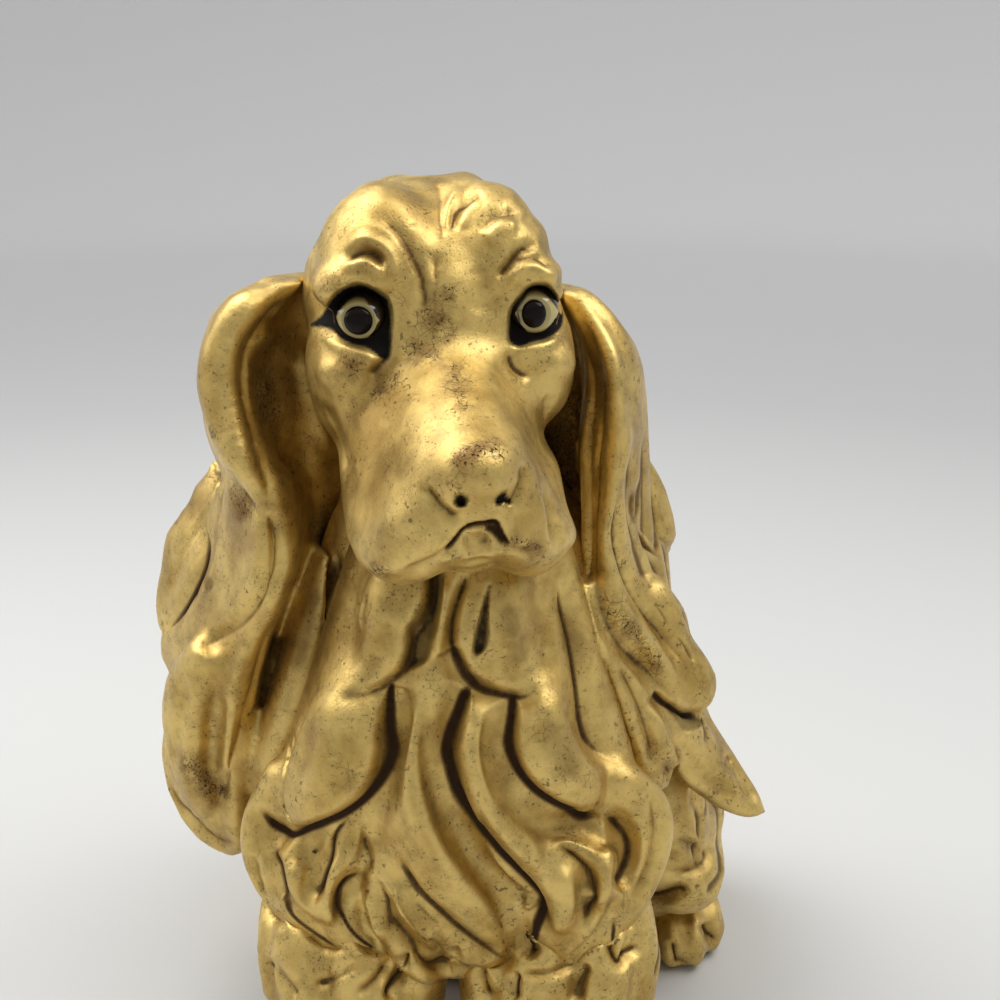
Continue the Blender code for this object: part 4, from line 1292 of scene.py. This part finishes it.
CHEST_STROKES = {
    "left leaf edge": lap(
        "429,562 430,585 428,603 420,622 412,634 410,650 406,665 398,679 385,688 364,694 345,698 326,700",
        24,
        5.5,
        0.6,
        fade=(0.04, 0.35),
    ),
    "throat strand gap": part("470,563 461,588 454,610 450,632 451,652 458,667 469,682", 14, 4.5, 0.9),
    "throat strand ridge": welt("446,572 444,605 440,635 437,662", 4, 1.4),
    "curl edge": lap(
        "546,681 534,691 520,696 500,696 480,690 467,681 457,666 451,650", 24, 5.5, 0.75, fade=(0.35, 0.04)
    ),
    "curl ridge": welt("512,626 518,652 526,676", 5, 1.1),
    "big lobe edge": lap(
        "390,684 389,710 387,732 386,752 382,772 376,788 366,804 353,816 338,825 320,832 300,837 284,834"
        " 270,829 261,817 256,800",
        30,
        6.5,
        0.9,
        fade=(0.03, 0.12),
    ),
    "long S edge": lap(
        "526,963 531,950 536,935 538,920 536,905 527,892 515,880 500,866 487,852 475,838 465,822 457,805"
        " 451,785 447,765 446,750 449,735 456,715 463,697 471,682",
        30,
        6.5,
        0.9,
        fade=(0.05, 0.04),
    ),
    "long S slot": part(
        "457,805 465,822 475,838 487,852 500,866 515,880 527,892 534,906 535,922 533,936 527,955",
        26,
        6.5,
        1.0,
    ),
    "right lobe edge": lap(
        "604,815 595,820 580,821 565,817 550,809 534,797 521,782 513,768 508,752 507,735 510,712 514,694",
        30,
        6.5,
        0.9,
        fade=(0.1, 0.04),
    ),
    "right curl edge": part("598,817 612,822 622,834 628,848 629,862 626,880 619,897", 22, 4.8, 0.8),
    "right curl tail": part("622,890 610,912 600,925 588,938 575,950 556,964", 14, 2.5, 0.45),
    "hook": part("553,844 567,848 577,856 586,867 590,880 590,900 588,918 581,936", 20, 4.8, 0.85),
    "left fork": part("356,822 340,835 330,846 322,860 316,878 313,898 317,908", 18, 4.8, 0.85),
    "fork strand": part("361,822 364,845 366,862 365,876", 12, 2.5, 0.4),
    "left hook": part(
        "368,870 355,880 345,892 342,905 345,920 353,932 364,942 378,950 392,955", 18, 5.0, 0.9
    ),
    "left outer lock": part(
        "293,845 272,852 274,868 277,883 281,897 290,912 300,922 315,933 330,943 354,958", 16, 4.2, 0.8
    ),
    "middle lock edge": lap(
        "527,964 505,957 485,949 468,939 452,928 438,916 425,905 412,891 402,876 396,860 394,842",
        26,
        5.2,
        0.7,
    ),
    "tongue lock edge": part(
        "371,870 378,890 386,918 397,933 408,944 418,955 428,963 440,967 451,959 464,936", 20, 5.0, 0.7
    ),
    "tongue slot": part("409,903 418,912 428,922 443,934", 14, 2.8, 0.5),
    "strand line": dish("410,700 407,740 410,780 420,822 440,868 462,902", 8, 1.0),
    "strand line beside": dish("428,690 424,735 430,782 444,822 468,876", 8, 1.0),
    "second strand line": dish("489,704 484,742 490,782 504,814 526,846 548,880", 8, 1.0),
    "right lobe line": dish("540,706 552,746 574,784", 10, 1.0),
    "right lobe side line": dish("566,700 582,736 606,772", 10, 1.0),
    "big lobe line": dish("352,716 346,758 330,802", 10, 1.0),
    "big lobe side line": dish("308,712 304,756 290,806", 10, 1.0),
    "left leaf line": dish("362,588 354,632 348,676", 10, 1.0),
    "left leaf side line": dish("394,586 386,630 376,672", 9, 0.8),
    # Painted shade: these dishes darken places in the shadow of the ears, the muzzle, the leaf tip, the
    # curl and the lobes
    "left ear shade": dish("338,548 322,585 306,625 292,670 278,715", 18, 1.0, 0.4, fade=(0.3, 0.5)),
    "right ear shade": dish("558,575 570,615 580,660 588,705", 18, 1.0, 0.35, fade=(0.3, 0.5)),
    "painted shade on the left leaf tip": dish("326,690 350,694 376,690", 13, 0.0, 0.4, fade=(0.5, 0.5)),
    "painted shade on the curl's end": dish("528,692 548,685 566,672", 13, 0.0, 0.4, fade=(0.5, 0.5)),
    "throat shade": dish("508,590 514,640 522,676", 20, 0.0, 0.4),
    "left throat shade": dish("352,592 344,640 338,680", 20, 0.0, 0.3),
    "right lobe shade": dish("548,710 562,748 588,784", 26, 0.0, 0.38),
    # The gaps by the ears are cut, and their darkness is painted shade
    "gap by the right ear": part("554,568 566,600 576,640 582,682 588,722 600,747 622,768", 20, 4.5, 0.8),
    "gap by the left ear": part("334,540 330,562 318,582 304,600 292,640 284,690 262,736", 20, 4.5, 0.8),
    "right side lock": part("652,787 656,818 650,861 632,904", 16, 3.0, 0.45),
    "left side lock": part("252,850 255,880 268,910 290,932", 14, 2.8, 0.4),
    "left leg lock": part("392,957 384,973 372,985 352,998", 14, 3.4, 0.6),
    "left leg slit": part("414,951 402,968 395,985 387,1004", 14, 4.4, 0.9),
    "left leg nick": part("358,962 347,972 330,980 314,986", 12, 2.0, 0.4),
    "left leg outer": part("262,955 274,972 290,990 300,1004", 16, 2.8, 0.4),
    "right leg slit": part("481,962 484,980 490,1004", 14, 4.0, 0.75),
    "right leg slot": part("516,970 512,985 514,1004", 14, 4.4, 0.9),
    "right lock bottom": part("515,972 540,975 560,970 582,958", 12, 2.4, 0.4),
    "right leg outer": part("588,962 580,980 576,1004", 14, 3.6, 0.6),
    "elbow notch": part("620,914 613,935 615,952 622,963 632,950 644,943", 14, 4.6, 0.85),
}

MANE_CRESTS = {
    "middle strand": welt("418,700 410,745 412,785 424,825 446,866 478,905 510,938", 15, 4.4),
    "second strand": welt("488,706 478,745 484,785 500,820 524,850 552,880", 14, 4.0),
    "big lobe": welt("340,716 331,755 314,798", 32, 4.0, fade=(0, 0)),
    "right lobe": welt("548,708 560,748 584,786", 26, 3.4, fade=(0, 0)),
    "left leaf": welt("386,580 380,612 370,645", 22, 2.4, fade=(0, 0.5)),
    "curl": welt("514,590 510,625 510,655", 16, 2.2, fade=(0, 0.5)),
    "right curl": welt("604,840 608,862 602,890 590,915", 11, 2.8),
    "hook": welt("556,864 567,886 565,910 552,938", 11, 2.8),
    "left outer": welt("296,856 294,880 302,904 322,926", 11, 2.4),
    "fork": welt("340,852 330,880 328,906 340,930", 9, 2.4),
    "left hook": welt("372,892 362,908 370,926 388,942", 10, 2.4),
    "tongue": welt("392,884 402,908 420,934 438,952", 10, 2.8),
}

# The darkness in these gaps is painted shade over the patina
CHEST_RECESSES = {
    "left throat gap": Recess(
        "430,563 442,573 441,596 437,618 432,642 427,661 410,669 404,677 410,652 413,637 422,622"
        " 429,604",
        2.5,
        0.55,
        4.0,
    ),
    "curl wedge": Recess("491,583 489,610 489,638 484,652 474,655 473,640 479,618 484,600", 2.8, 0.7, 3.5),
}

HIND_STROKES = {
    "inner toe": part("670,940 674,957 684,975", 12, 3.0, 0.8),
    "outer toe": part("704,921 710,934 719,944", 12, 2.8, 0.75),
    "ankle": part("636,902 658,898 677,891 693,889", 14, 3.6, 0.8),
    "hock oval": part("661,839 683,841 698,846 707,853 705,863 695,869 676,873 660,871", 10, 1.8, 0.5),
}

# Strokes on the tail, as seen from beside it
TAIL_LOW = "62,120 80,116 98,108 112,100"
TAIL_HIGH = "58,110 76,107 92,101 106,93"
TAIL_STROKES = {
    side: {
        "low lock": part(mirrored(TAIL_LOW, side), 7, 2.2, 0.5),
        "high lock": part(mirrored(TAIL_HIGH, side), 7, 2.0, 0.5),
    }
    for side in (-1, 1)
}


# Combed coat on the sides that the lens doesn't show


@dataclass(frozen=True)
class Comb:
    """Wavy locks that hang side by side: partings with a curled tip between each two.

    Places and sizes are in millimetres in a flat view: the partings start at the top line and spread
    from the axis by the flare until they reach the bottom line.  Each one's wave runs ahead of the last
    by the phase.  The tips sit in tiers, staggered from lock to lock, and are cut at a share of the
    partings' width and depth.
    """

    first: float
    last: float
    count: int
    top: float
    bottom: float
    axis: float = 0.0
    flare: float = 1.0
    lean: float = 0.0
    sway: float = 5.0
    waves: float = 1.3
    width: float = 9.0
    depth: float = 3.0
    dark: float = 0.55
    phase: float = 1.1
    stagger: float = 0.618
    tiers: tuple[float, ...] = (-0.3, 0.0, 0.3)
    tip_share: float = 0.7

    def place(self, number: float, share: float) -> str:
        """Gives a place on a parting.

        Args:
            number: Which parting, counted from 0.
            share: How far down it, from 0 to 1.

        Returns:
            The place, written as a stroke's line writes it.
        """
        start = self.first + (self.last - self.first) * number / (self.count - 1)
        wave = self.sway * math.sin(2 * math.pi * self.waves * share + self.phase * number)
        across = self.axis + (start - self.axis) * (1 + (self.flare - 1) * share)
        drop = self.top + (self.bottom - self.top) * share
        return f"{across + self.lean * share + wave:.2f},{drop:.2f}"

    def strokes(self) -> dict[str, Stroke]:
        """Lists the partings and the tips between them."""
        made = {}
        for number in range(self.count):
            spots = [self.place(number, step / 10) for step in range(11)]
            line = " ".join(spots)
            made[f"parting {number}"] = part(line, self.width, self.depth, self.dark, fade=(0.1, 0.1))
        for number in range(self.count - 1):
            at = 0.35 + 0.3 * ((number * self.stagger) % 1.0)
            for tier in (at + lift for lift in self.tiers):
                steps = ((0.0, tier - 0.1), (0.2, tier), (0.55, tier + 0.07), (1.0, tier + 0.09))
                spots = [self.place(number + aside, share) for aside, share in steps]
                name = f"tip {number} at {tier:.2f}"
                width, depth = self.tip_share * self.width, self.tip_share * self.depth
                made[name] = lap(" ".join(reversed(spots)), width, depth, self.dark)
        return made


# Castings


@dataclass
class Casting:
    """One pottery casting, carved on a melted copy of its CAD solid.

    Sizes are in millimetres: the cell of the melt, and how far the skin swells to close the lute.
    """

    name: str
    node: str
    cell: float
    rounds: int = 24
    swell: float = 0.45
    plugs: tuple[str, ...] = ()
    lutes: tuple[tuple[str, float, float], ...] = ()
    guards: tuple[tuple[str, float], ...] = ()
    cuts: list[tuple[View, dict[str, Stroke]]] = field(default_factory=list)
    recesses: list[tuple[View, dict[str, Recess]]] = field(default_factory=list)
    pulls: list[tuple[View, dict[str, Pull]]] = field(default_factory=list)
    softened: list[tuple[View, str, float, int]] = field(default_factory=list)

    def melt(self) -> bpy.types.Object:
        """Copies the solid and melts it to an even skin.

        Returns:
            The new object.
        """
        piece = copy_nodes(self.name, (self.node, *self.plugs))
        apply_modifier(piece, "REMESH", mode="VOXEL", voxel_size=self.cell * MM)
        apply_modifier(piece, "SMOOTH", factor=0.5, iterations=self.rounds)
        return piece

    def work(self, clay: Clay) -> None:
        """Carves the skin.

        Args:
            clay: The skin of this casting.
        """
        for view, outline, rim, rounds in self.softened:
            clay.soften(view, outline, rim, rounds)
        clay.points += clay.normals() * self.swell * MM
        for node, reach, sink in self.lutes:
            clay.lute(node, reach, sink)
        for view, pulls in self.pulls:
            clay.pull(view, pulls)
        for node, reach in self.guards:
            clay.guard(node, reach)
        for view, strokes in self.cuts:
            clay.carve(view, strokes)
        for view, recesses in self.recesses:
            clay.sink(view, recesses)

    def build(self, finish: bpy.types.Material) -> bpy.types.Object:
        """Makes the casting.

        Args:
            finish: Its material.

        Returns:
            The finished piece.
        """
        piece = self.melt()
        clay = Clay(piece)
        self.work(clay)
        clay.settle()
        hand_over(piece, finish, "gilded_pottery", self.node)
        return piece


@dataclass
class HeadCasting(Casting):
    """The head, with the floors of its eye sockets levelled round the glass balls."""

    lens: View | None = None
    floor_ahead: float = 3.6
    floor_tip: float = 0.02
    socket_rim: float = 2.2

    def work(self, clay: Clay) -> None:
        """Carves the face, then sinks the sockets and the mouth.

        Args:
            clay: The skin of the head.
        """
        super().work(clay)
        for side, outline in EYE_OUTLINES.items():
            low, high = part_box("eye_left" if side > 0 else "eye_right")
            middle = (np.array(low) + np.array(high)) / 2
            _, depth, _ = self.lens.project(middle[None])
            clay.level(self.lens, outline, depth[0] - self.floor_ahead, self.socket_rim, self.floor_tip)
        clay.carve(self.lens, MOUTH_STROKES)


@dataclass
class GlassEye:
    """A glass ball and its black pupil, set in a socket of the head.

    Angles are in degrees and sizes in millimetres.  The cream almond on the ball is drawn round the
    pupil; its shaded corner is towards +X where shade is positive.  The brown ring round the pupil is
    given in pupil radii, and the pupil's bulge and seat as shares of a round one.
    """

    side: str
    turn: float
    rise: float
    shade: float
    almond_shift: float
    pupil_narrow: float = 1.0
    pupil_diameter: float = 8.8
    pupil_proud: float = 0.5
    pupil_flat: float = 0.55
    pupil_seat: float = 0.35
    seat_depth: float = 0.6
    ring_start: float = 1.05
    ring_end: float = 1.22
    almond_half_width: float = 7.4
    almond_half_height: float = 6.6
    corner_share: float = 0.86
    corner_dim: float = 0.34
    least_room: float = 0.04
    ball_segments: int = 128
    pupil_segments: int = 40

    def gaze(self) -> Vector:
        """Direction that the eye looks in."""
        turn, rise = math.radians(self.turn), math.radians(self.rise)
        return Vector((math.sin(turn) * math.cos(rise), -math.cos(turn) * math.cos(rise), math.sin(rise)))

    def ring(self, away: Vector) -> float:
        """Tells how far out a spot on the ball lies: 0 at the pupil, cream near 0.6, dark from 0.9.

        Args:
            away: The spot from the ball's centre, in metres.

        Returns:
            The place in the colour ramp of the glass.
        """
        gaze = self.gaze()
        across = Vector((0, 0, 1)).cross(gaze).normalized()
        aside, above = away.dot(across) / MM, away.dot(gaze.cross(across)) / MM
        half = self.pupil_diameter / 2
        if away.dot(gaze) < 0:
            return 1.0
        out = math.hypot(aside / self.pupil_narrow, above) / half
        if out < self.ring_end:
            across_ring = (out - self.ring_start) / (self.ring_end - self.ring_start)
            return 0.0 if across_ring < 0 else 0.3 + 0.08 * across_ring
        lean = (aside - self.almond_shift) * math.copysign(1, self.shade) / self.almond_half_width
        room = max(0.0, 1 - (lean / self.corner_share) ** 2) ** 0.5 if lean > 0 else 1 - lean**2
        if room < self.least_room:
            return 1.0
        out = abs(above) / (self.almond_half_height * room)
        toward_corner = np.array(lean * self.almond_half_width)
        dim = self.corner_dim * float(ease(toward_corner, 0.4 * half, 1.6 * half))
        return min(1.0, 0.4 + 0.5 * min(1.2, out) + abs(self.shade) * dim)

    def ball(self, name: str, radius: float, centre: Vector, segments: int) -> bpy.types.Object:
        """Adds a ball with its pole towards the gaze.

        Args:
            name: Name of the object.
            radius: Radius in metres.
            centre: Centre in metres.
            segments: Number of segments round it.

        Returns:
            The ball, at the origin, with its place in its mesh.
        """
        bpy.ops.object.select_all(action="DESELECT")
        bpy.ops.mesh.primitive_uv_sphere_add(segments=segments, ring_count=segments // 2, radius=radius)
        made = bpy.context.object
        made.name = name
        turn = self.gaze().to_track_quat("Z", "Y").to_matrix().to_4x4()
        made.data.transform(Matrix.Translation(centre) @ turn)
        return made

    def build(self, cream: bpy.types.Material, black: bpy.types.Material) -> None:
        """Makes the ball and the pupil.

        Args:
            cream: Finish of the ball.
            black: Finish of the pupil.
        """
        low, high = (Vector(corner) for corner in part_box(f"eye_{self.side}"))
        centre = (low + high) / 2
        radius = (high.z - low.z) / 2
        eye = self.ball(f"eye_ball_{self.side}", radius, centre, self.ball_segments)
        gaze = self.gaze()
        half = self.pupil_diameter * MM / 2
        rest = math.sqrt(radius**2 - half**2)
        select_only(eye)
        bpy.ops.object.mode_set(mode="EDIT")
        bpy.ops.mesh.select_all(action="SELECT")
        cut = centre + gaze * (rest - self.seat_depth * MM)
        bpy.ops.mesh.bisect(plane_co=cut, plane_no=gaze, clear_outer=True, use_fill=True)
        bpy.ops.object.mode_set(mode="OBJECT")
        ring = eye.data.attributes.new("ring", "FLOAT", "POINT")
        for spot, vertex in zip(ring.data, eye.data.vertices):
            spot.value = self.ring(vertex.co - centre)
        hand_over(eye, cream, "cream_glass", f"eye_{self.side}")
        eye.data.set_sharp_from_angle(angle=SHARP)
        pupil = self.ball(f"eye_pupil_{self.side}", half, centre, self.pupil_segments)
        flat, seat = self.pupil_flat, self.pupil_seat
        across = Vector((0, 0, 1)).cross(gaze).normalized()
        for vertex in pupil.data.vertices:
            away = vertex.co - centre
            along = away.dot(gaze)
            lift = rest + self.pupil_proud * MM - half * flat * seat + along * (flat - 1)
            vertex.co += gaze * lift + across * away.dot(across) * (self.pupil_narrow - 1)
        hand_over(pupil, black, "black_glass", f"pupil_{self.side}")


@dataclass
class FeltFeet:
    """Felt pads under the paws and the felt ring under the rump.

    The edge is rounded by so many millimetres wherever it turns by more than the crease, in radians.
    """

    pads: tuple[str, ...] = ("fore_left", "fore_right", "hind_left", "hind_right")
    edge: float = 0.35
    crease: float = 0.9

    def build(self, finish: bpy.types.Material) -> None:
        """Makes the pads and the ring.

        Args:
            finish: Their material.
        """
        for pad in (*(f"pad_{name}" for name in self.pads), "ring_rump"):
            node = f"felt_{pad}"
            piece = copy_nodes(f"felt_under_{pad}", (node,))
            where = {"limit_method": "ANGLE", "angle_limit": self.crease}
            apply_modifier(piece, "BEVEL", width=self.edge * MM, segments=2, **where)
            hand_over(piece, finish, "brown_felt", node)
            piece.data.set_sharp_from_angle(angle=SHARP)


# Studio


@dataclass(frozen=True)
class Lamp:
    """A square soft lamp: where it hangs and its side in metres, and its power in watts."""

    spot: tuple[float, float, float]
    side: float
    power: float


LAMPS = {
    "key": Lamp((-0.4, 0.05, 0.95), 0.55, 5.5),
    "fill": Lamp((0.5, -0.05, 0.9), 0.6, 4.5),
    "window": Lamp((-0.8, 0.0, 0.6), 0.6, 1.8),
}


@dataclass
class Studio:
    """Pale round tray, soft lamps and the camera.

    Sizes are in metres.  The lamps point at a spot so high above the middle of the tray.
    """

    lens: View
    lamp_aim: float = 0.16
    tray_radius: float = 2.2
    tray_height: float = 0.8
    tray_sides: int = 128
    fold: float = 0.35
    fold_segments: int = 16
    sky_strength: float = 0.6
    sky_low: float = 0.16
    sky_left: float = 0.25

    def add_tray(self) -> None:
        """Adds the floor: a wide round tray with a rounded fold, open to the sky."""
        bpy.ops.object.select_all(action="DESELECT")
        bpy.ops.mesh.primitive_cylinder_add(
            vertices=self.tray_sides,
            radius=self.tray_radius,
            depth=self.tray_height,
            location=(0, 0, self.tray_height / 2),
        )
        tray = bpy.context.object
        tray.name = "tray"
        bpy.ops.object.transform_apply(location=True)
        bpy.ops.object.mode_set(mode="EDIT")
        bpy.ops.mesh.select_all(action="DESELECT")
        bpy.ops.mesh.select_mode(type="FACE")
        bpy.ops.object.mode_set(mode="OBJECT")
        # The lid goes
        for face in tray.data.polygons:
            face.select = face.normal.z > 0.9
        bpy.ops.object.mode_set(mode="EDIT")
        bpy.ops.mesh.delete(type="FACE")
        bpy.ops.mesh.select_mode(type="EDGE")
        bpy.ops.mesh.select_all(action="DESELECT")
        bpy.ops.object.mode_set(mode="OBJECT")
        # The corner between floor and wall is rounded
        for edge in tray.data.edges:
            edge.select = all(tray.data.vertices[v].co.z < 1e-4 for v in edge.vertices)
        bpy.ops.object.mode_set(mode="EDIT")
        bpy.ops.mesh.bevel(offset=self.fold, segments=self.fold_segments)
        bpy.ops.object.mode_set(mode="OBJECT")
        # Fold and wall are smooth, and the floor is flat
        for face in tray.data.polygons:
            face.use_smooth = abs(face.normal.z) < 0.999
        tray.data.materials.append(MattPaper().make())

    def add_sky(self) -> None:
        """Lights the figure from all round: bright overhead and on the left, dim below."""
        world = bpy.data.worlds.new("studio_air")
        bpy.context.scene.world = world
        world.use_nodes = True
        tree = world.node_tree
        heading = add_node(tree, "ShaderNodeTexCoord").outputs["Generated"]
        split = add_node(tree, "ShaderNodeSeparateXYZ", None, {0: heading})
        ways = {"up": split.outputs["Z"], "across": split.outputs["X"]}
        above = add_node(tree, *Grade("up", -0.1, 0.85, self.sky_low, 1.0).node(ways)).outputs[0]
        aside = add_node(tree, *Grade("across", 0.0, -0.9, 0.0, self.sky_left).node(ways)).outputs[0]
        both = add_node(tree, "ShaderNodeMath", {"operation": "ADD"}, {0: above, 1: aside})
        plug(tree, tree.nodes["Background"], {0: both.outputs[0], 1: self.sky_strength})

    def add_lamps(self) -> None:
        """Adds the lamps, each pointed at the figure."""
        for name, lamp in LAMPS.items():
            bpy.ops.object.light_add(type="AREA", location=lamp.spot)
            made = bpy.context.object
            made.name = name
            made.data.size = lamp.side
            made.data.energy = lamp.power
            aim = Vector((0, 0, self.lamp_aim)) - Vector(lamp.spot)
            made.rotation_euler = aim.to_track_quat("-Z", "Y").to_euler()

    def add_camera(self) -> None:
        """Adds the camera where the photographer stood."""
        bpy.ops.object.camera_add(location=self.lens.spot)
        camera = bpy.context.object
        right, up, forward = self.lens.axes()
        turn = Matrix((right, up, -forward)).transposed()
        camera.rotation_euler = turn.to_euler()
        camera.data.sensor_width = SENSOR
        camera.data.lens = self.lens.focal * SENSOR / PIXELS
        camera.data.clip_start = 0.01
        bpy.context.scene.camera = camera

    def build(self) -> None:
        """Sets up floor, light and camera."""
        self.add_tray()
        self.add_sky()
        self.add_lamps()
        self.add_camera()
        bpy.context.scene.view_settings.view_transform = "Standard"


def castings(lens: View) -> list[Casting]:
    """Lists the castings with their strokes.

    Args:
        lens: The photographer's view.

    Returns:
        The castings, ready to build.
    """
    coat = [(lens, CHEST_STROKES)]
    gaps = [(lens, CHEST_RECESSES)]
    hind = [(lens, HIND_STROKES)]
    middle = (0.0, 0.0, 0.15)
    square_on = (0.6, 0.82)
    outermost = (0.78, 0.92)
    back = View(middle, 180.0, grip=square_on)
    flanks = {side: View(middle, 180.0 - 90.0 * side, grip=square_on) for side in (-1, 1)}
    spine = Comb(-46, 30, 7, -66, 118, axis=-8, flare=1.5, sway=6, width=10, depth=3.4)
    flank = Comb(-10, 70, 6, -40, 60, sway=6, width=10)
    nape = Comb(-26, 22, 5, -110, -64, axis=-2, flare=1.1, sway=2.5, width=8, depth=1.6, dark=0.4)
    made = [
        HeadCasting(
            "head",
            "head_shell",
            cell=0.88,
            rounds=18,
            plugs=("eye_left", "eye_right", "pupil_left", "pupil_right"),
            cuts=[(lens, FACE_STROKES), (back, nape.strokes())],
            recesses=[(lens, FACE_RECESSES)],
            pulls=[(lens, SKULL_PULLS)],
            softened=[(lens, FACE_SOFT, 40, 220)],
            lens=lens,
        ),
        Casting(
            "mane",
            "chest_mane",
            cell=0.84,
            rounds=36,
            swell=1.6,
            softened=[(lens, MANE_SOFT, 30, 82), *((lens, spot, 20, 236) for spot in MANE_LUMPS)],
            guards=(("foreleg_left", 7.0), ("foreleg_right", 7.0)),
            cuts=[(lens, MANE_CRESTS), *coat],
            recesses=gaps,
        ),
        Casting(
            "torso",
            "body_shell",
            cell=1.52,
            rounds=38,
            cuts=[*coat, (back, spine.strokes()), *((view, flank.strokes()) for view in flanks.values())],
            recesses=gaps,
        ),
        Casting(
            "docked_tail",
            "tail",
            cell=0.8,
            lutes=(("body_shell", 5.0, 2.5),),
            cuts=[(view, TAIL_STROKES[side]) for side, view in flanks.items()],
        ),
    ]
    for side, word in ((-1, "right"), (1, "left")):
        thigh = Comb(side * 48, side * -44, 6, 46, 136, axis=side * 2, flare=1.1, sway=6, width=10)
        rear = Comb(side * -96, side * -44, 4, 48, 132, sway=4, width=9)
        outer = Comb(side * 4, side * -46, 5, -70, 96, lean=side * 12, sway=6, width=8, depth=2.0)
        upper = Comb(side * -40, side * -92, 5, 20, 128, lean=side * -8, sway=4, width=7, depth=2.4)
        beside = View(middle, 180.0 - 90.0 * side, grip=outermost)
        made += [
            Casting(
                f"long_ear_{word}",
                f"ear_{word}",
                cell=0.8,
                lutes=(("head_shell", 5.0, 2.0),),
                cuts=[(lens, EAR_STROKES[side]), (beside, outer.strokes())],
                recesses=[(lens, EAR_RECESSES[side])],
                pulls=[(lens, EAR_PULLS[side])],
            ),
            Casting(
                f"front_leg_{word}",
                f"foreleg_{word}",
                cell=0.9,
                lutes=(("body_shell", 6.0, 2.5),),
                cuts=[*coat, (beside, upper.strokes())],
            ),
            Casting(
                f"thigh_{word}",
                f"haunch_{word}",
                cell=1.0,
                lutes=(("body_shell", 6.0, 2.5),),
                cuts=[*hind, (flanks[side], thigh.strokes()), (back, rear.strokes())],
            ),
            Casting(
                f"hind_foot_{word}",
                f"hind_paw_{word}",
                cell=0.8,
                lutes=((f"haunch_{word}", 5.0, 2.0),),
                cuts=hind,
            ),
        ]
    return made


def eyes() -> list[GlassEye]:
    """Lists the eyes with the directions that they look in."""
    return [
        GlassEye("right", 2.0, -1.0, shade=1.0, almond_shift=-0.2),
        GlassEye("left", 10.0, 2.0, shade=-1.0, almond_shift=0.6, pupil_narrow=0.86),
    ]


def main() -> None:
    """Builds the figure, piece by piece, and the studio round it."""
    logging.basicConfig(level=logging.INFO, format="%(message)s")
    lens = View(tuple(figure_origin() + LENS_FROM_ORIGIN), LENS_TURN, LENS_PITCH, LENS_FOCAL)
    gold = GoldLeaf().make()
    for casting in castings(lens):
        casting.build(gold)
    cream, black = CreamGlass().make(), BlackGlass().make()
    for eye in eyes():
        eye.build(cream, black)
    FeltFeet().build(WoolFelt().make())
    Studio(lens).build()


if __name__ == "__main__":
    main()
